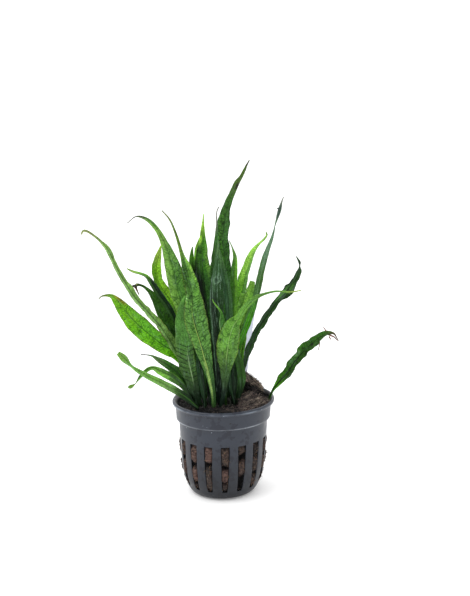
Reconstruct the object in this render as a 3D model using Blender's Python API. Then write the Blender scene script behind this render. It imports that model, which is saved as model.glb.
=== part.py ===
"""Java fern in a slotted 55 mm pot. Origin on the level of the pot's base, under the middle of its rim.
+Z is up and the front faces -Y."""

import math

import bmesh
import bpy
from mathutils import Matrix, Vector

MM = 0.001

# Pot, in millimetres
POT_HEIGHT = 51.5
RIM_RADIUS = 27.5
RIM_BEAD = 2.2
RIM_TOP_RADII = (27.0, 26.0)
# The rim's edges are rounded: how far in its lower edge starts, and how high each rounding is
RIM_EDGE_INSET = 0.2
RIM_LOWER_EDGE = 0.3
RIM_UPPER_EDGE = 0.9
COLLAR_TOP_RADIUS = 25.7
COLLAR_FOOT_RADIUS = 25.4
STEP_HEIGHT = 41.4
STEP_LEDGE = 0.3
WALL = 1.0
BASE_PLATE = 1.5
# Outside of the body from the edge of the base up to the collar, as radius and height
BODY = (
    (14.6, 0.0), (17.2, 0.9), (18.8, 2.8), (19.9, 5.3), (21.1, 8.5), (21.9, 12.0),
    (22.8, 19.0), (23.5, 31.5), (23.8, 41.1),
)
INNER_FOOT = ((17.2, 2.6), (14.4, BASE_PLATE), (7.3, BASE_PLATE))
# How far the middle of the base stands to the left of the middle of the rim
POT_LEAN = 1.5
SLOTS = 16
SLOT_TOP = 31.5
SLOT_FOOT = 5.3
SLOT_FOOT_RADIUS = 19.9
SLOT_TOP_WIDTH = 4.6
SLOT_FOOT_WIDTH = 2.3
SLOT_START_DEG = -88.0

# Gap left between pieces that touch
GAP = 0.3

# Wool plug
PLUG_COLUMNS = 32
PLUG_FOOT_RADIUS = 14.2
PLUG_TOP = 45.5
PLUG_EDGE_TOP = 47.5
PLUG_BOWL_RADIUS = 20.5
# The plug's edge slopes by this much up to its highest ring and down again to the bowl in its top
PLUG_EDGE_SLOPE = 0.6
PLUG_BOWL_SLOPE = 1.4
PLUG_SAG = 0.25
PLUG_SAGS = 5

# The heights below are taken from the top of the pot's base plate.

# Plant label
LABEL_WIDTH = 12.0
LABEL_THICKNESS = 0.8
LABEL_FOOT = (5.9, 17.2, 46.8)
LABEL_LENGTH = 51.0
LABEL_LEAN_DEG = 8.5
LABEL_TILT_DEG = -3.0
LABEL_CORNER = 2.0
LABEL_CORNER_STEPS = 3

# Rhizome: three stems, each from end to end
RHIZOME_RADIUS = 2.3
RHIZOME_STEMS = (
    ((-15.0, -11.0, 46.9), (-6.0, -12.0, 47.1), (6.5, -9.5, 46.9)),
    ((-12.5, 2.5, 46.9), (-3.0, 4.0, 47.1), (7.5, 3.0, 46.9)),
    ((-3.0, -11.5, 46.9), (-3.8, -4.0, 46.7), (-3.0, 4.0, 46.9)),
)

# Lumps of wool, by their corners
FRONT_LUMP = (
    (10.8, -4.6, 52.3), (14.0, -3.6, 54.0), (19.5, -5.4, 51.8), (22.8, -6.8, 49.4),
    (11.0, -3.4, 46.6), (18.0, -3.4, 46.6), (22.8, -5.4, 46.6), (9.6, -21.4, 46.6),
    (14.0, -19.2, 46.9), (18.8, -14.8, 47.2), (22.4, -8.8, 47.2), (12.4, -12.0, 51.2),
    (17.4, -10.0, 50.4), (9.6, -15.0, 49.6), (9.9, -7.6, 50.6), (12.0, -17.0, 49.4),
)
REAR_MOUND = (
    (11.2, 13.4, 60.6), (8.4, 14.0, 59.8), (4.4, 14.4, 57.0), (13.4, 13.4, 59.4),
    (16.1, 13.0, 57.2), (18.8, 12.0, 54.8), (21.2, 10.2, 52.4), (4.0, 15.6, 50.0),
    (12.0, 15.8, 53.6), (14.6, 16.0, 49.6), (-1.0, 15.4, 46.6), (13.6, 16.2, 46.6),
    (20.2, 11.6, 46.6), (22.4, 7.2, 46.6), (18.6, 3.4, 46.6), (12.4, 6.0, 46.6),
    (10.2, 9.8, 51.0), (17.0, 5.6, 50.6), (3.0, 13.2, 47.0), (13.0, 8.2, 55.0),
)

# A leaf: breadth across the blade as seen from the front, turn about its own length in degrees at
# the root and at the tip, how far its halves fold up towards each other, and its spine from root to
# tip. Each point of a spine is x, y, z and the breadth there.
LEAVES = {
    "front_centre_leaf": (10, 25, 12, (
        (-5.0, -13.6, 50.2, 1.7), (-5.4, -15.0, 57.8, 2.4), (-6.8, -17.5, 68.9, 4.4),
        (-8.6, -20.0, 78.0, 7.0), (-10.4, -22.0, 87.5, 9.8), (-12.4, -23.5, 96.0, 11.4),
        (-13.4, -24.5, 103.5, 10.8), (-13.5, -25.0, 111.5, 7.8), (-14.4, -25.0, 117.5, 6.6),
        (-16.2, -25.0, 125.0, 5.2), (-18.2, -24.5, 131.5, 2.6), (-21.0, -23.0, 142.0, 1.3),
        (-23.8, -21.5, 149.0, 0.9), (-27.6, -20.0, 153.6, 0.5))),
    "front_right_broad_leaf": (-10, -30, 10, (
        (-1.4, -13.2, 50.2, 2.0), (0.7, -14.2, 59.5, 2.9), (1.4, -16.0, 68.7, 5.2),
        (2.1, -18.5, 76.9, 9.7), (3.0, -19.5, 82.9, 11.7), (4.1, -20.3, 88.9, 11.2),
        (6.2, -21.0, 94.4, 8.4), (8.7, -21.8, 98.2, 4.6), (11.3, -22.6, 102.6, 3.4),
        (14.4, -23.2, 106.3, 3.2), (17.6, -23.5, 108.9, 2.6), (21.4, -23.3, 110.5, 1.6),
        (28.0, -22.0, 111.6, 1.1), (35.2, -20.0, 110.6, 1.0), (40.9, -18.0, 110.9, 0.5))),
    "low_left_long_leaf": (30, 20, 15, (
        (-13.4, -14.0, 50.2, 2.0), (-21.4, -17.0, 57.6, 3.7), (-32.3, -20.0, 65.4, 3.6),
        (-38.1, -22.0, 69.3, 3.1), (-42.9, -23.0, 72.7, 2.5), (-46.3, -23.5, 75.6, 2.0),
        (-49.6, -24.0, 79.7, 2.6), (-52.5, -24.0, 82.7, 1.5))),
    "front_left_leaf": (-20, -25, 12, (
        (-12.2, -11.6, 50.2, 1.9), (-15.2, -13.5, 59.7, 6.0), (-18.2, -17.0, 75.0, 8.8),
        (-19.0, -19.0, 84.5, 9.2), (-19.7, -20.0, 93.7, 7.1), (-19.8, -20.5, 102.1, 4.6),
        (-18.9, -20.5, 107.8, 1.8), (-16.5, -20.0, 111.4, 0.5))),
    "small_front_left_leaf": (20, 20, 10, (
        (-9.8, -14.4, 50.2, 1.4), (-10.5, -15.6, 59.1, 2.6), (-11.7, -17.0, 69.2, 3.4),
        (-12.9, -18.0, 79.5, 0.8))),
    "arching_left_leaf": (10, 15, 14, (
        (-9.4, -11.6, 50.2, 1.6), (-11.5, -12.4, 61.0, 3.0), (-13.1, -13.2, 73.7, 4.7),
        (-14.9, -14.4, 83.5, 6.4), (-17.0, -15.8, 96.5, 7.8), (-19.2, -16.5, 103.3, 8.2),
        (-22.2, -17.0, 115.4, 8.1), (-23.4, -17.0, 123.1, 8.2), (-25.2, -16.5, 130.2, 6.4),
        (-27.0, -16.0, 135.8, 4.2), (-30.3, -15.0, 142.8, 1.6), (-34.6, -14.0, 147.9, 1.3),
        (-38.6, -13.0, 149.9, 0.8), (-41.7, -12.0, 149.9, 0.5), (-45.8, -11.0, 146.8, 0.4))),
    "drooping_low_left_leaf": (-35, -20, 16, (
        (-15.4, -11.4, 50.2, 1.6), (-19.6, -12.6, 58.7, 2.6), (-23.3, -15.0, 64.1, 3.7),
        (-28.2, -16.5, 68.2, 4.6), (-32.2, -17.5, 70.8, 3.8), (-35.7, -18.0, 72.7, 2.1),
        (-38.5, -18.5, 72.0, 1.6), (-42.4, -19.5, 68.5, 1.0), (-44.9, -20.0, 65.2, 0.5),
        (-47.4, -20.5, 63.7, 1.3), (-48.7, -20.5, 63.4, 0.5))),
    "low_left_dark_leaf": (25, 20, 14, (
        (-14.2, -8.8, 50.0, 1.6), (-18.9, -10.8, 60.6, 3.5), (-23.2, -12.2, 67.7, 5.0),
        (-27.2, -12.8, 71.5, 4.4), (-30.2, -13.0, 73.7, 3.6), (-33.2, -13.2, 75.7, 2.6),
        (-36.7, -13.5, 78.0, 0.9), (-42.1, -14.0, 78.9, 0.5))),
    "far_left_arching_leaf": (35, 40, 25, (
        (-11.8, -9.4, 50.0, 1.6), (-17.0, -10.4, 67.3, 3.2), (-23.8, -12.0, 79.7, 4.4),
        (-29.0, -14.5, 90.0, 4.6), (-33.7, -16.0, 97.4, 4.6), (-38.0, -17.0, 103.0, 4.3),
        (-42.7, -18.0, 109.0, 3.6), (-45.9, -18.0, 114.3, 3.8), (-51.0, -18.0, 123.6, 3.0),
        (-55.5, -17.5, 133.8, 3.2), (-59.3, -17.0, 138.9, 1.4), (-64.6, -16.5, 143.3, 0.9),
        (-67.3, -16.2, 144.1, 0.8), (-68.5, -16.0, 142.3, 0.5))),
    "broad_left_leaf": (-5, -12, 10, (
        (-12.4, 1.0, 50.2, 1.6), (-17.9, -1.4, 67.0, 4.8), (-24.1, -6.6, 77.5, 7.4),
        (-29.7, -8.5, 81.4, 8.4), (-34.1, -9.5, 85.2, 9.7), (-39.1, -10.0, 89.8, 10.4),
        (-44.5, -10.0, 95.3, 9.9), (-49.8, -10.0, 101.8, 7.3), (-53.3, -9.5, 106.5, 4.6),
        (-56.3, -9.0, 109.2, 2.1), (-60.7, -8.5, 109.2, 0.8), (-62.8, -8.0, 107.6, 0.5))),
    "twisted_dark_leaf": (20, 50, 10, (
        (-9.4, -8.6, 50.0, 1.6), (-18.4, -5.3, 77.1, 3.7), (-23.5, -5.4, 92.9, 4.7),
        (-27.3, -6.0, 101.7, 5.2), (-31.1, -6.5, 107.8, 5.0), (-34.9, -7.0, 114.3, 4.0),
        (-37.8, -7.0, 118.5, 2.3), (-40.8, -7.0, 120.0, 1.8), (-44.4, -7.0, 121.1, 1.5),
        (-47.7, -7.0, 122.9, 0.5))),
    "plantlet_leaf": (15, 25, 12, (
        (-13.8, 3.6, 50.2, 1.6), (-18.3, 0.6, 68.9, 3.7), (-24.1, -0.6, 82.5, 5.8),
        (-27.9, -1.6, 91.3, 6.8), (-31.2, -2.2, 99.6, 6.2), (-34.0, -2.6, 105.5, 4.2),
        (-37.0, -3.0, 109.9, 2.1), (-40.5, -3.2, 112.9, 1.2), (-43.6, -3.4, 113.4, 1.6),
        (-43.4, -3.6, 111.0, 0.8), (-42.2, -3.8, 108.4, 0.4))),
    "upright_left_leaf": (40, 30, 14, (
        (-9.6, 2.4, 50.2, 1.6), (-16.0, 2.0, 74.0, 3.2), (-21.8, 2.5, 92.0, 3.7),
        (-26.1, 3.0, 102.9, 3.7), (-29.6, 3.0, 108.3, 3.7), (-32.5, 3.0, 114.3, 3.7),
        (-33.3, 3.0, 121.2, 3.4), (-32.0, 3.0, 127.0, 2.4), (-30.3, 3.0, 132.8, 0.5))),
    "centre_spike_leaf": (20, 40, 24, (
        (-2.4, -10.6, 50.2, 2.0), (-2.1, -11.4, 60.4, 3.6), (-2.0, -12.8, 71.6, 4.7),
        (-2.1, -14.5, 85.5, 6.7), (-2.4, -16.0, 106.9, 8.7), (-2.0, -16.0, 117.2, 6.1),
        (-1.2, -15.5, 126.3, 3.0), (-0.2, -14.5, 137.1, 0.6))),
    "thin_bright_leaf": (15, 20, 10, (
        (1.3, -11.6, 50.2, 1.3), (1.0, -13.4, 66.6, 1.4), (1.3, -16.0, 85.0, 2.4),
        (0.5, -18.6, 95.2, 3.1), (0.1, -19.8, 101.1, 2.0), (-3.3, -20.4, 106.4, 0.8),
        (-4.1, -20.4, 108.2, 0.5))),
    "dark_centre_leaf": (15, 30, 12, (
        (-4.6, -8.8, 50.2, 2.2), (-4.4, -8.4, 62.2, 4.4), (-4.8, -9.5, 78.9, 5.0),
        (-7.0, -10.8, 98.0, 6.7), (-7.9, -11.2, 108.7, 7.7), (-8.7, -11.2, 116.6, 8.2),
        (-9.0, -11.2, 125.9, 7.6), (-8.4, -11.0, 134.5, 4.6), (-8.1, -10.5, 141.1, 2.5),
        (-7.6, -10.0, 146.6, 1.0), (-7.3, -10.0, 150.2, 0.5))),
    "dark_narrow_leaf": (30, 35, 12, (
        (-7.0, -9.2, 50.2, 1.6), (-8.6, -6.0, 78.0, 3.7), (-11.2, -5.6, 99.7, 4.7),
        (-13.4, -5.0, 116.7, 4.7), (-14.3, -5.0, 127.1, 2.6), (-13.6, -5.0, 133.0, 0.5))),
    "bright_inner_leaf": (20, 30, 12, (
        (-7.2, 3.6, 50.2, 1.6), (-8.9, 4.0, 81.3, 3.7), (-10.3, 5.0, 105.5, 5.3),
        (-10.8, 6.0, 121.5, 5.3), (-11.3, 6.5, 129.4, 3.2), (-10.1, 7.0, 135.7, 0.5))),
    "thin_tip_leaf": (30, 45, 12, (
        (-2.0, 1.6, 50.2, 1.6), (-2.6, 0.0, 82.1, 3.2), (-2.7, 0.0, 103.6, 4.2),
        (-2.2, 0.6, 123.7, 4.7), (-1.7, 1.2, 132.5, 2.6), (-0.8, 2.0, 142.9, 0.9),
        (-0.7, 2.0, 149.2, 0.6), (0.5, 2.0, 152.4, 0.5))),
    "tallest_leaf": (-15, -35, 14, (
        (0.6, 4.4, 50.2, 1.6), (2.6, 5.0, 75.4, 4.8), (3.6, 6.5, 92.5, 6.4), (3.5, 7.5, 107.5, 6.9),
        (2.8, 8.5, 123.4, 6.9), (2.1, 9.2, 134.0, 6.6), (3.1, 10.0, 144.5, 5.8),
        (4.4, 10.5, 150.2, 4.1), (6.4, 11.0, 155.4, 3.0), (8.7, 11.4, 160.0, 2.4),
        (10.7, 11.8, 163.9, 2.3), (12.7, 12.2, 166.7, 1.7), (14.7, 12.4, 170.3, 1.3),
        (15.9, 12.5, 172.8, 0.9), (17.4, 12.5, 175.4, 0.5))),
    "pale_inner_leaf": (25, 35, 12, (
        (0.4, -10.0, 50.2, 1.6), (3.7, -6.5, 82.9, 3.2), (4.1, -5.5, 102.8, 4.2),
        (3.1, -5.0, 112.3, 4.2), (1.5, -4.5, 121.2, 3.0), (0.3, -4.0, 130.6, 0.6))),
    "short_green_leaf": (-25, -35, 12, (
        (2.6, 2.0, 50.2, 1.6), (5.5, 0.6, 81.6, 3.7), (7.1, 1.0, 103.1, 4.2),
        (7.3, 1.5, 111.0, 4.0), (7.9, 1.5, 120.1, 3.4), (8.3, 2.0, 125.8, 2.1),
        (7.1, 2.0, 130.6, 0.8), (5.4, 2.0, 134.7, 0.4))),
    "light_right_leaf": (-25, -40, 14, (
        (2.8, 6.4, 50.2, 1.6), (6.9, 8.0, 80.0, 3.8), (9.6, 8.5, 98.8, 5.4),
        (11.2, 9.5, 106.8, 5.6), (13.2, 10.5, 114.7, 5.1), (15.9, 11.5, 122.0, 4.0),
        (18.7, 12.0, 127.7, 2.7), (21.7, 12.5, 131.1, 1.5), (24.2, 13.0, 133.1, 1.3),
        (25.8, 13.0, 135.5, 1.0), (25.3, 13.0, 137.4, 0.4))),
    "crinkled_leaf": (-15, -25, 8, (
        (4.9, 4.4, 50.0, 1.4), (8.8, 4.4, 80.0, 3.2), (11.0, 4.6, 91.0, 4.2),
        (11.9, 4.6, 99.2, 4.2), (12.5, 4.6, 105.7, 2.4))),
    "torn_tip_leaf": (-15, -25, 8, (
        (7.0, 4.6, 50.0, 1.4), (11.4, 1.4, 80.5, 3.2), (14.1, 1.4, 101.0, 3.9),
        (15.8, 1.6, 106.3, 3.9), (17.2, 1.6, 112.8, 2.4))),
    "tall_right_leaf": (-25, -40, 14, (
        (6.6, 2.0, 50.2, 1.8), (7.2, -1.6, 64.0, 2.8), (7.8, -3.4, 75.9, 3.8),
        (9.8, -4.0, 81.9, 4.0), (12.4, -4.0, 88.1, 4.2), (14.9, -3.2, 94.0, 4.2),
        (16.9, -2.5, 99.2, 4.0), (18.6, -1.8, 104.4, 3.8), (19.9, -1.0, 109.5, 3.6),
        (21.1, -0.3, 114.7, 3.5), (23.9, 1.0, 124.7, 2.9), (25.7, 1.8, 129.6, 2.3),
        (27.6, 2.5, 134.2, 1.7), (29.0, 3.0, 138.8, 1.1), (29.6, 3.3, 141.6, 0.8),
        (32.2, 4.3, 149.1, 1.1), (33.6, 4.8, 154.2, 0.5), (34.5, 5.0, 156.3, 0.4))),
    "dark_base_right_leaf": (20, 30, 10, (
        (6.9, -7.6, 50.0, 1.6), (8.9, -7.8, 56.0, 3.0), (9.9, -8.4, 62.8, 4.6),
        (9.0, -9.2, 70.2, 4.6), (7.3, -10.2, 77.6, 4.2), (5.9, -11.0, 85.4, 2.6),
        (5.4, -11.4, 91.0, 0.6))),
    "small_front_right_leaf": (-10, -10, 10, (
        (6.0, -10.8, 50.0, 1.3), (4.9, -12.0, 55.0, 2.4), (4.2, -13.2, 60.4, 3.2),
        (4.2, -14.6, 71.0, 3.2), (4.4, -15.8, 81.0, 0.8))),
    "small_right_leaf": (20, 20, 10, (
        (4.6, -8.8, 50.0, 1.4), (5.8, -8.0, 58.5, 3.4), (5.3, -8.6, 67.1, 4.4),
        (4.6, -9.2, 78.2, 4.0), (4.6, -9.8, 90.0, 0.6))),
    "dark_long_right_leaf": (25, 40, 14, (
        (8.2, -5.8, 51.6, 1.2), (9.8, -5.0, 62.0, 1.3), (11.2, -6.0, 68.8, 1.8),
        (12.2, -6.2, 72.1, 2.6), (14.0, -6.5, 77.6, 3.0), (18.9, -7.0, 88.3, 3.0),
        (22.4, -7.0, 93.6, 3.1), (26.1, -7.0, 98.8, 2.9), (30.0, -7.0, 104.0, 3.0),
        (32.8, -7.0, 106.8, 3.6), (35.4, -7.0, 109.9, 4.0), (37.7, -7.0, 112.8, 3.4),
        (39.6, -7.0, 116.1, 2.7), (40.9, -7.0, 119.2, 1.8), (41.3, -7.0, 121.6, 0.7),
        (41.2, -7.0, 123.4, 1.2), (39.6, -7.0, 126.7, 0.4))),
    "far_right_leaf": (-20, -25, 14, (
        (22.9, -2.8, 47.0, 0.9), (25.2, -3.8, 51.4, 1.1), (26.8, -4.5, 55.2, 1.7),
        (29.0, -4.8, 58.2, 2.9), (31.7, -5.3, 61.6, 4.2), (34.8, -6.0, 65.6, 4.5),
        (38.3, -7.0, 70.9, 4.9), (42.2, -8.0, 75.9, 5.1), (46.4, -9.0, 80.3, 4.8),
        (50.6, -10.0, 84.0, 3.8), (54.8, -11.0, 86.5, 2.1), (58.1, -12.0, 86.5, 0.8),
        (59.6, -12.2, 84.4, 0.5), (60.8, -12.4, 82.4, 0.3))),
    "back_left_leaf": (-20, -30, 12, (
        (-10.8, 4.8, 50.2, 1.6), (-13.9, 13.0, 83.8, 6.0), (-17.7, 19.0, 105.1, 6.5),
        (-21.2, 22.0, 115.8, 3.4), (-22.7, 23.0, 120.2, 0.6))),
    "back_centre_left_leaf": (15, 25, 12, (
        (-5.2, 6.4, 50.2, 1.6), (-6.4, 16.0, 77.4, 6.0), (-5.6, 24.0, 101.3, 7.0),
        (-4.1, 28.0, 114.8, 3.6), (-2.7, 30.0, 122.8, 0.6))),
    "back_centre_leaf": (-10, -20, 12, (
        (-1.6, 6.4, 50.2, 1.6), (0.4, 14.0, 78.0, 5.4), (1.8, 22.0, 104.1, 6.6),
        (3.0, 27.0, 119.2, 3.6), (3.4, 28.6, 128.0, 0.6))),
    "back_right_leaf": (-15, -30, 12, (
        (4.2, 7.2, 49.6, 1.5), (7.6, 11.6, 72.0, 3.6), (10.6, 13.4, 87.0, 4.2),
        (14.6, 13.6, 98.5, 0.8))),
    "back_low_leaf": (10, 20, 12, (
        (-8.6, 6.4, 49.8, 1.5), (-9.4, 17.0, 64.0, 5.0), (-9.6, 26.0, 76.0, 5.0),
        (-9.0, 32.0, 84.0, 0.8))),
}
STEM_STUB = ((3.8, -12.6, 50.2, 1.1), (3.2, -12.4, 52.2, 1.0), (2.2, -12.8, 53.8, 0.8))

# Direction that an unturned blade faces
BLADE_FACING = Vector((0.0, -1.0, 0.35))
LONGEST_STEP = 7.0
THINNEST_BLADE = 0.6
STALK_THICKNESS = 1.15
THINNING = 0.06
MOST_THICKNESS_SHARE = 0.8
NARROWEST = 0.3
STEM_SAMPLES = 9
STEM_SIDES = 10
STUB_SIDES = 6

COLOURS = {
    "net_pot": (0.06, 0.07, 0.09),
    "wool": (0.07, 0.045, 0.032),
    "rhizome": (0.03, 0.05, 0.02),
    "plant_label": (0.72, 0.72, 0.80),
    "leaf": (0.05, 0.19, 0.03),
}


def clear_scene():
    for obj in list(bpy.data.objects):
        bpy.data.objects.remove(obj, do_unlink=True)


def make_material(name, colour, roughness):
    material = bpy.data.materials.new(name)
    material.use_nodes = True
    shader = material.node_tree.nodes["Principled BSDF"]
    shader.inputs["Base Color"].default_value = (*colour, 1.0)
    shader.inputs["Roughness"].default_value = roughness
    shader.inputs["Metallic"].default_value = 0.0
    return material


def add_object(name, mesh_builder, material, lift=0.0):
    """Closes the mesh, raises it, turns its faces outward and adds it to the scene."""
    bmesh.ops.translate(mesh_builder, verts=mesh_builder.verts, vec=(0.0, 0.0, lift * MM))
    bmesh.ops.recalc_face_normals(mesh_builder, faces=mesh_builder.faces)
    mesh = bpy.data.meshes.new(name)
    mesh_builder.to_mesh(mesh)
    mesh_builder.free()
    mesh.materials.append(material)
    obj = bpy.data.objects.new(name, mesh)
    bpy.context.scene.collection.objects.link(obj)
    return obj


def pot_profile():
    """Radius and height of the wall, up the outside from the base, over the rim and down the inside."""
    rim_foot = POT_HEIGHT - RIM_BEAD
    base_radius = BODY[0][0]
    rim_outer, rim_inner = RIM_TOP_RADII
    outside = [(0.5 * base_radius, 0.0), *BODY]
    outside.append((COLLAR_FOOT_RADIUS, STEP_HEIGHT))
    outside.append((COLLAR_TOP_RADIUS, rim_foot))
    outside.append((RIM_RADIUS - RIM_EDGE_INSET, rim_foot + RIM_LOWER_EDGE))
    outside.append((RIM_RADIUS, POT_HEIGHT - RIM_UPPER_EDGE))
    outside.append((rim_outer, POT_HEIGHT))
    inside = [(rim_inner, POT_HEIGHT)]
    inside.append((COLLAR_TOP_RADIUS - WALL, rim_foot))
    inside.append((COLLAR_FOOT_RADIUS - WALL, STEP_HEIGHT + WALL))
    for radius, height in reversed(BODY):
        if height >= SLOT_FOOT:
            inside.append((radius - WALL, height - STEP_LEDGE if height > SLOT_TOP else height))
    inside.extend(INNER_FOOT)
    return outside + inside


def lean_at(height):
    """How far the middle of the pot is from the middle of its rim at a height."""
    return POT_LEAN * (height / POT_HEIGHT - 1.0)


def slot_half_angle(radius, height):
    share = min(max((height - SLOT_FOOT) / (SLOT_TOP - SLOT_FOOT), 0.0), 1.0)
    width = SLOT_FOOT_WIDTH + (SLOT_TOP_WIDTH - SLOT_FOOT_WIDTH) * math.sqrt(share)
    return 0.5 * width / max(radius, SLOT_FOOT_RADIUS)


def close_with_hub(builder, ring, height):
    """Closes a ring with a fan of faces round a point on the pot's middle line."""
    hub = builder.verts.new((lean_at(height) * MM, 0.0, height * MM))
    for column, corner in enumerate(ring):
        builder.faces.new((corner, ring[(column + 1) % len(ring)], hub))


def build_pot(material):
    """One moulded wall with tapering slots, four columns of faces to each slot and the rib beside it."""
    profile = pot_profile()
    pitch = 2.0 * math.pi / SLOTS
    start = math.radians(SLOT_START_DEG)
    builder = bmesh.new()
    rings = []
    for radius, height in profile:
        half = slot_half_angle(radius, height)
        ring = []
        for slot in range(SLOTS):
            middle = start + slot * pitch
            for angle in (middle - half, middle, middle + half, middle + 0.5 * pitch):
                x = lean_at(height) + radius * math.cos(angle)
                ring.append(builder.verts.new((x * MM, radius * math.sin(angle) * MM, height * MM)))
        rings.append(ring)
    columns_to_a_slot = 4
    open_columns = (0, 1)
    slot_sides = (0, 2)
    count = columns_to_a_slot * SLOTS
    levels = [height for _, height in profile]
    last = len(levels) - 1
    outer_foot = levels.index(SLOT_FOOT)
    outer_top = levels.index(SLOT_TOP)
    inner_foot = last - levels[::-1].index(SLOT_FOOT)
    inner_top = last - levels[::-1].index(SLOT_TOP)
    for row in range(last):
        in_slot_rows = outer_foot <= row < outer_top or inner_top <= row < inner_foot
        for column in range(count):
            if in_slot_rows and column % columns_to_a_slot in open_columns:
                continue
            after = (column + 1) % count
            builder.faces.new((rings[row][column], rings[row][after],
                               rings[row + 1][after], rings[row + 1][column]))
    for slot in range(SLOTS):
        first = columns_to_a_slot * slot
        for side in slot_sides:
            column = first + side
            for step in range(outer_top - outer_foot):
                outer = outer_foot + step
                inner = inner_foot - step
                builder.faces.new((rings[outer][column], rings[outer + 1][column],
                                   rings[inner - 1][column], rings[inner][column]))
        for open_column in open_columns:
            column = first + open_column
            after = (column + 1) % count
            for outer, inner in ((outer_foot, inner_foot), (outer_top, inner_top)):
                builder.faces.new((rings[outer][column], rings[outer][after],
                                   rings[inner][after], rings[inner][column]))
    close_with_hub(builder, rings[0], levels[0])
    close_with_hub(builder, rings[-1], levels[-1])
    return add_object("net_pot", builder, material)


def plug_rings():
    """Rings of the wool plug from its foot to its top, as radius and height."""
    inside = WALL + GAP
    rings = [(PLUG_FOOT_RADIUS, BASE_PLATE + GAP)]
    for radius, height in BODY:
        if height >= SLOT_FOOT:
            rings.append((radius - inside, height))
    rings.append((COLLAR_FOOT_RADIUS - inside - GAP, PLUG_EDGE_TOP - PLUG_EDGE_SLOPE))
    rings.append((PLUG_BOWL_RADIUS + PLUG_BOWL_SLOPE, PLUG_EDGE_TOP))
    rings.append((PLUG_BOWL_RADIUS, PLUG_TOP))
    rings.append((PLUG_BOWL_RADIUS * 0.5, PLUG_TOP))
    return rings


def build_plug(material):
    builder = bmesh.new()
    rings = []
    for radius, height in plug_rings():
        ring = []
        for column in range(PLUG_COLUMNS):
            angle = 2.0 * math.pi * column / PLUG_COLUMNS
            sag = PLUG_SAG * (1.0 - math.cos(PLUG_SAGS * angle)) if height > STEP_HEIGHT else 0.0
            x = lean_at(height) + radius * math.cos(angle)
            ring.append(builder.verts.new((x * MM, radius * math.sin(angle) * MM, (height - sag) * MM)))
        rings.append(ring)
    for lower, upper in zip(rings, rings[1:]):
        for column in range(PLUG_COLUMNS):
            after = (column + 1) % PLUG_COLUMNS
            builder.faces.new((lower[column], lower[after], upper[after], upper[column]))
    close_with_hub(builder, rings[0], plug_rings()[0][1])
    close_with_hub(builder, rings[-1], plug_rings()[-1][1])
    return add_object("wool_plug", builder, material)


def build_lump(name, corners, material):
    builder = bmesh.new()
    for corner in corners:
        builder.verts.new(Vector(corner) * MM)
    bmesh.ops.convex_hull(builder, input=builder.verts)
    loose = [vert for vert in builder.verts if not vert.link_faces]
    bmesh.ops.delete(builder, geom=loose, context="VERTS")
    return add_object(name, builder, material, BASE_PLATE)


def build_label(material):
    """A blank strip with rounded top corners, leaning to the right and a little back."""
    half = 0.5 * LABEL_WIDTH
    outline = [(-half, 0.0), (half, 0.0)]
    for centre, start in ((half - LABEL_CORNER, 0.0), (-half + LABEL_CORNER, 90.0)):
        for step in range(LABEL_CORNER_STEPS + 1):
            angle = math.radians(start + 90.0 * step / LABEL_CORNER_STEPS)
            across = centre + LABEL_CORNER * math.cos(angle)
            up = LABEL_LENGTH - LABEL_CORNER + LABEL_CORNER * math.sin(angle)
            outline.append((across, up))
    turn = Matrix.Rotation(math.radians(LABEL_LEAN_DEG), 4, "Y")
    tilt = Matrix.Rotation(math.radians(LABEL_TILT_DEG), 4, "X")
    builder = bmesh.new()
    front = []
    back = []
    for across, up in outline:
        for side, row in ((-0.5, front), (0.5, back)):
            corner = Vector((across, side * LABEL_THICKNESS, up))
            row.append(builder.verts.new((tilt @ turn @ corner + Vector(LABEL_FOOT)) * MM))
    builder.faces.new(front)
    builder.faces.new(reversed(back))
    for index in range(len(outline)):
        after = (index + 1) % len(outline)
        builder.faces.new((front[index], back[index], back[after], front[after]))
    return add_object("plant_label", builder, material, BASE_PLATE)


def path_samples(rows, count):
    """Evenly spaced points on a smooth curve through the rows, each with its breadth."""
    points = [Vector(row) for row in rows]
    gaps = [(after.xyz - before.xyz).length for before, after in zip(points, points[1:])]
    reach = [0.0]
    for gap in gaps:
        reach.append(reach[-1] + gap)
    slopes = []
    for index in range(len(points)):
        before = max(index - 1, 0)
        after = min(index + 1, len(points) - 1)
        slopes.append((points[after] - points[before]) / (reach[after] - reach[before]))
    samples = []
    for step in range(count):
        along = reach[-1] * step / (count - 1)
        part = 0
        while part < len(gaps) - 1 and along > reach[part + 1]:
            part += 1
        gap = gaps[part]
        share = (along - reach[part]) / gap
        square = share * share
        cube = square * share
        samples.append(points[part] * (2.0 * cube - 3.0 * square + 1.0)
                       + slopes[part] * gap * (cube - 2.0 * square + share)
                       + points[part + 1] * (3.0 * square - 2.0 * cube)
                       + slopes[part + 1] * gap * (cube - square))
    return samples


def blade_thickness(breadth):
    """A stalk is round and a blade is flat: thinner where it is broad, and never thicker than broad."""
    return min(max(THINNEST_BLADE, STALK_THICKNESS - THINNING * breadth), MOST_THICKNESS_SHARE * breadth)


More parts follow.
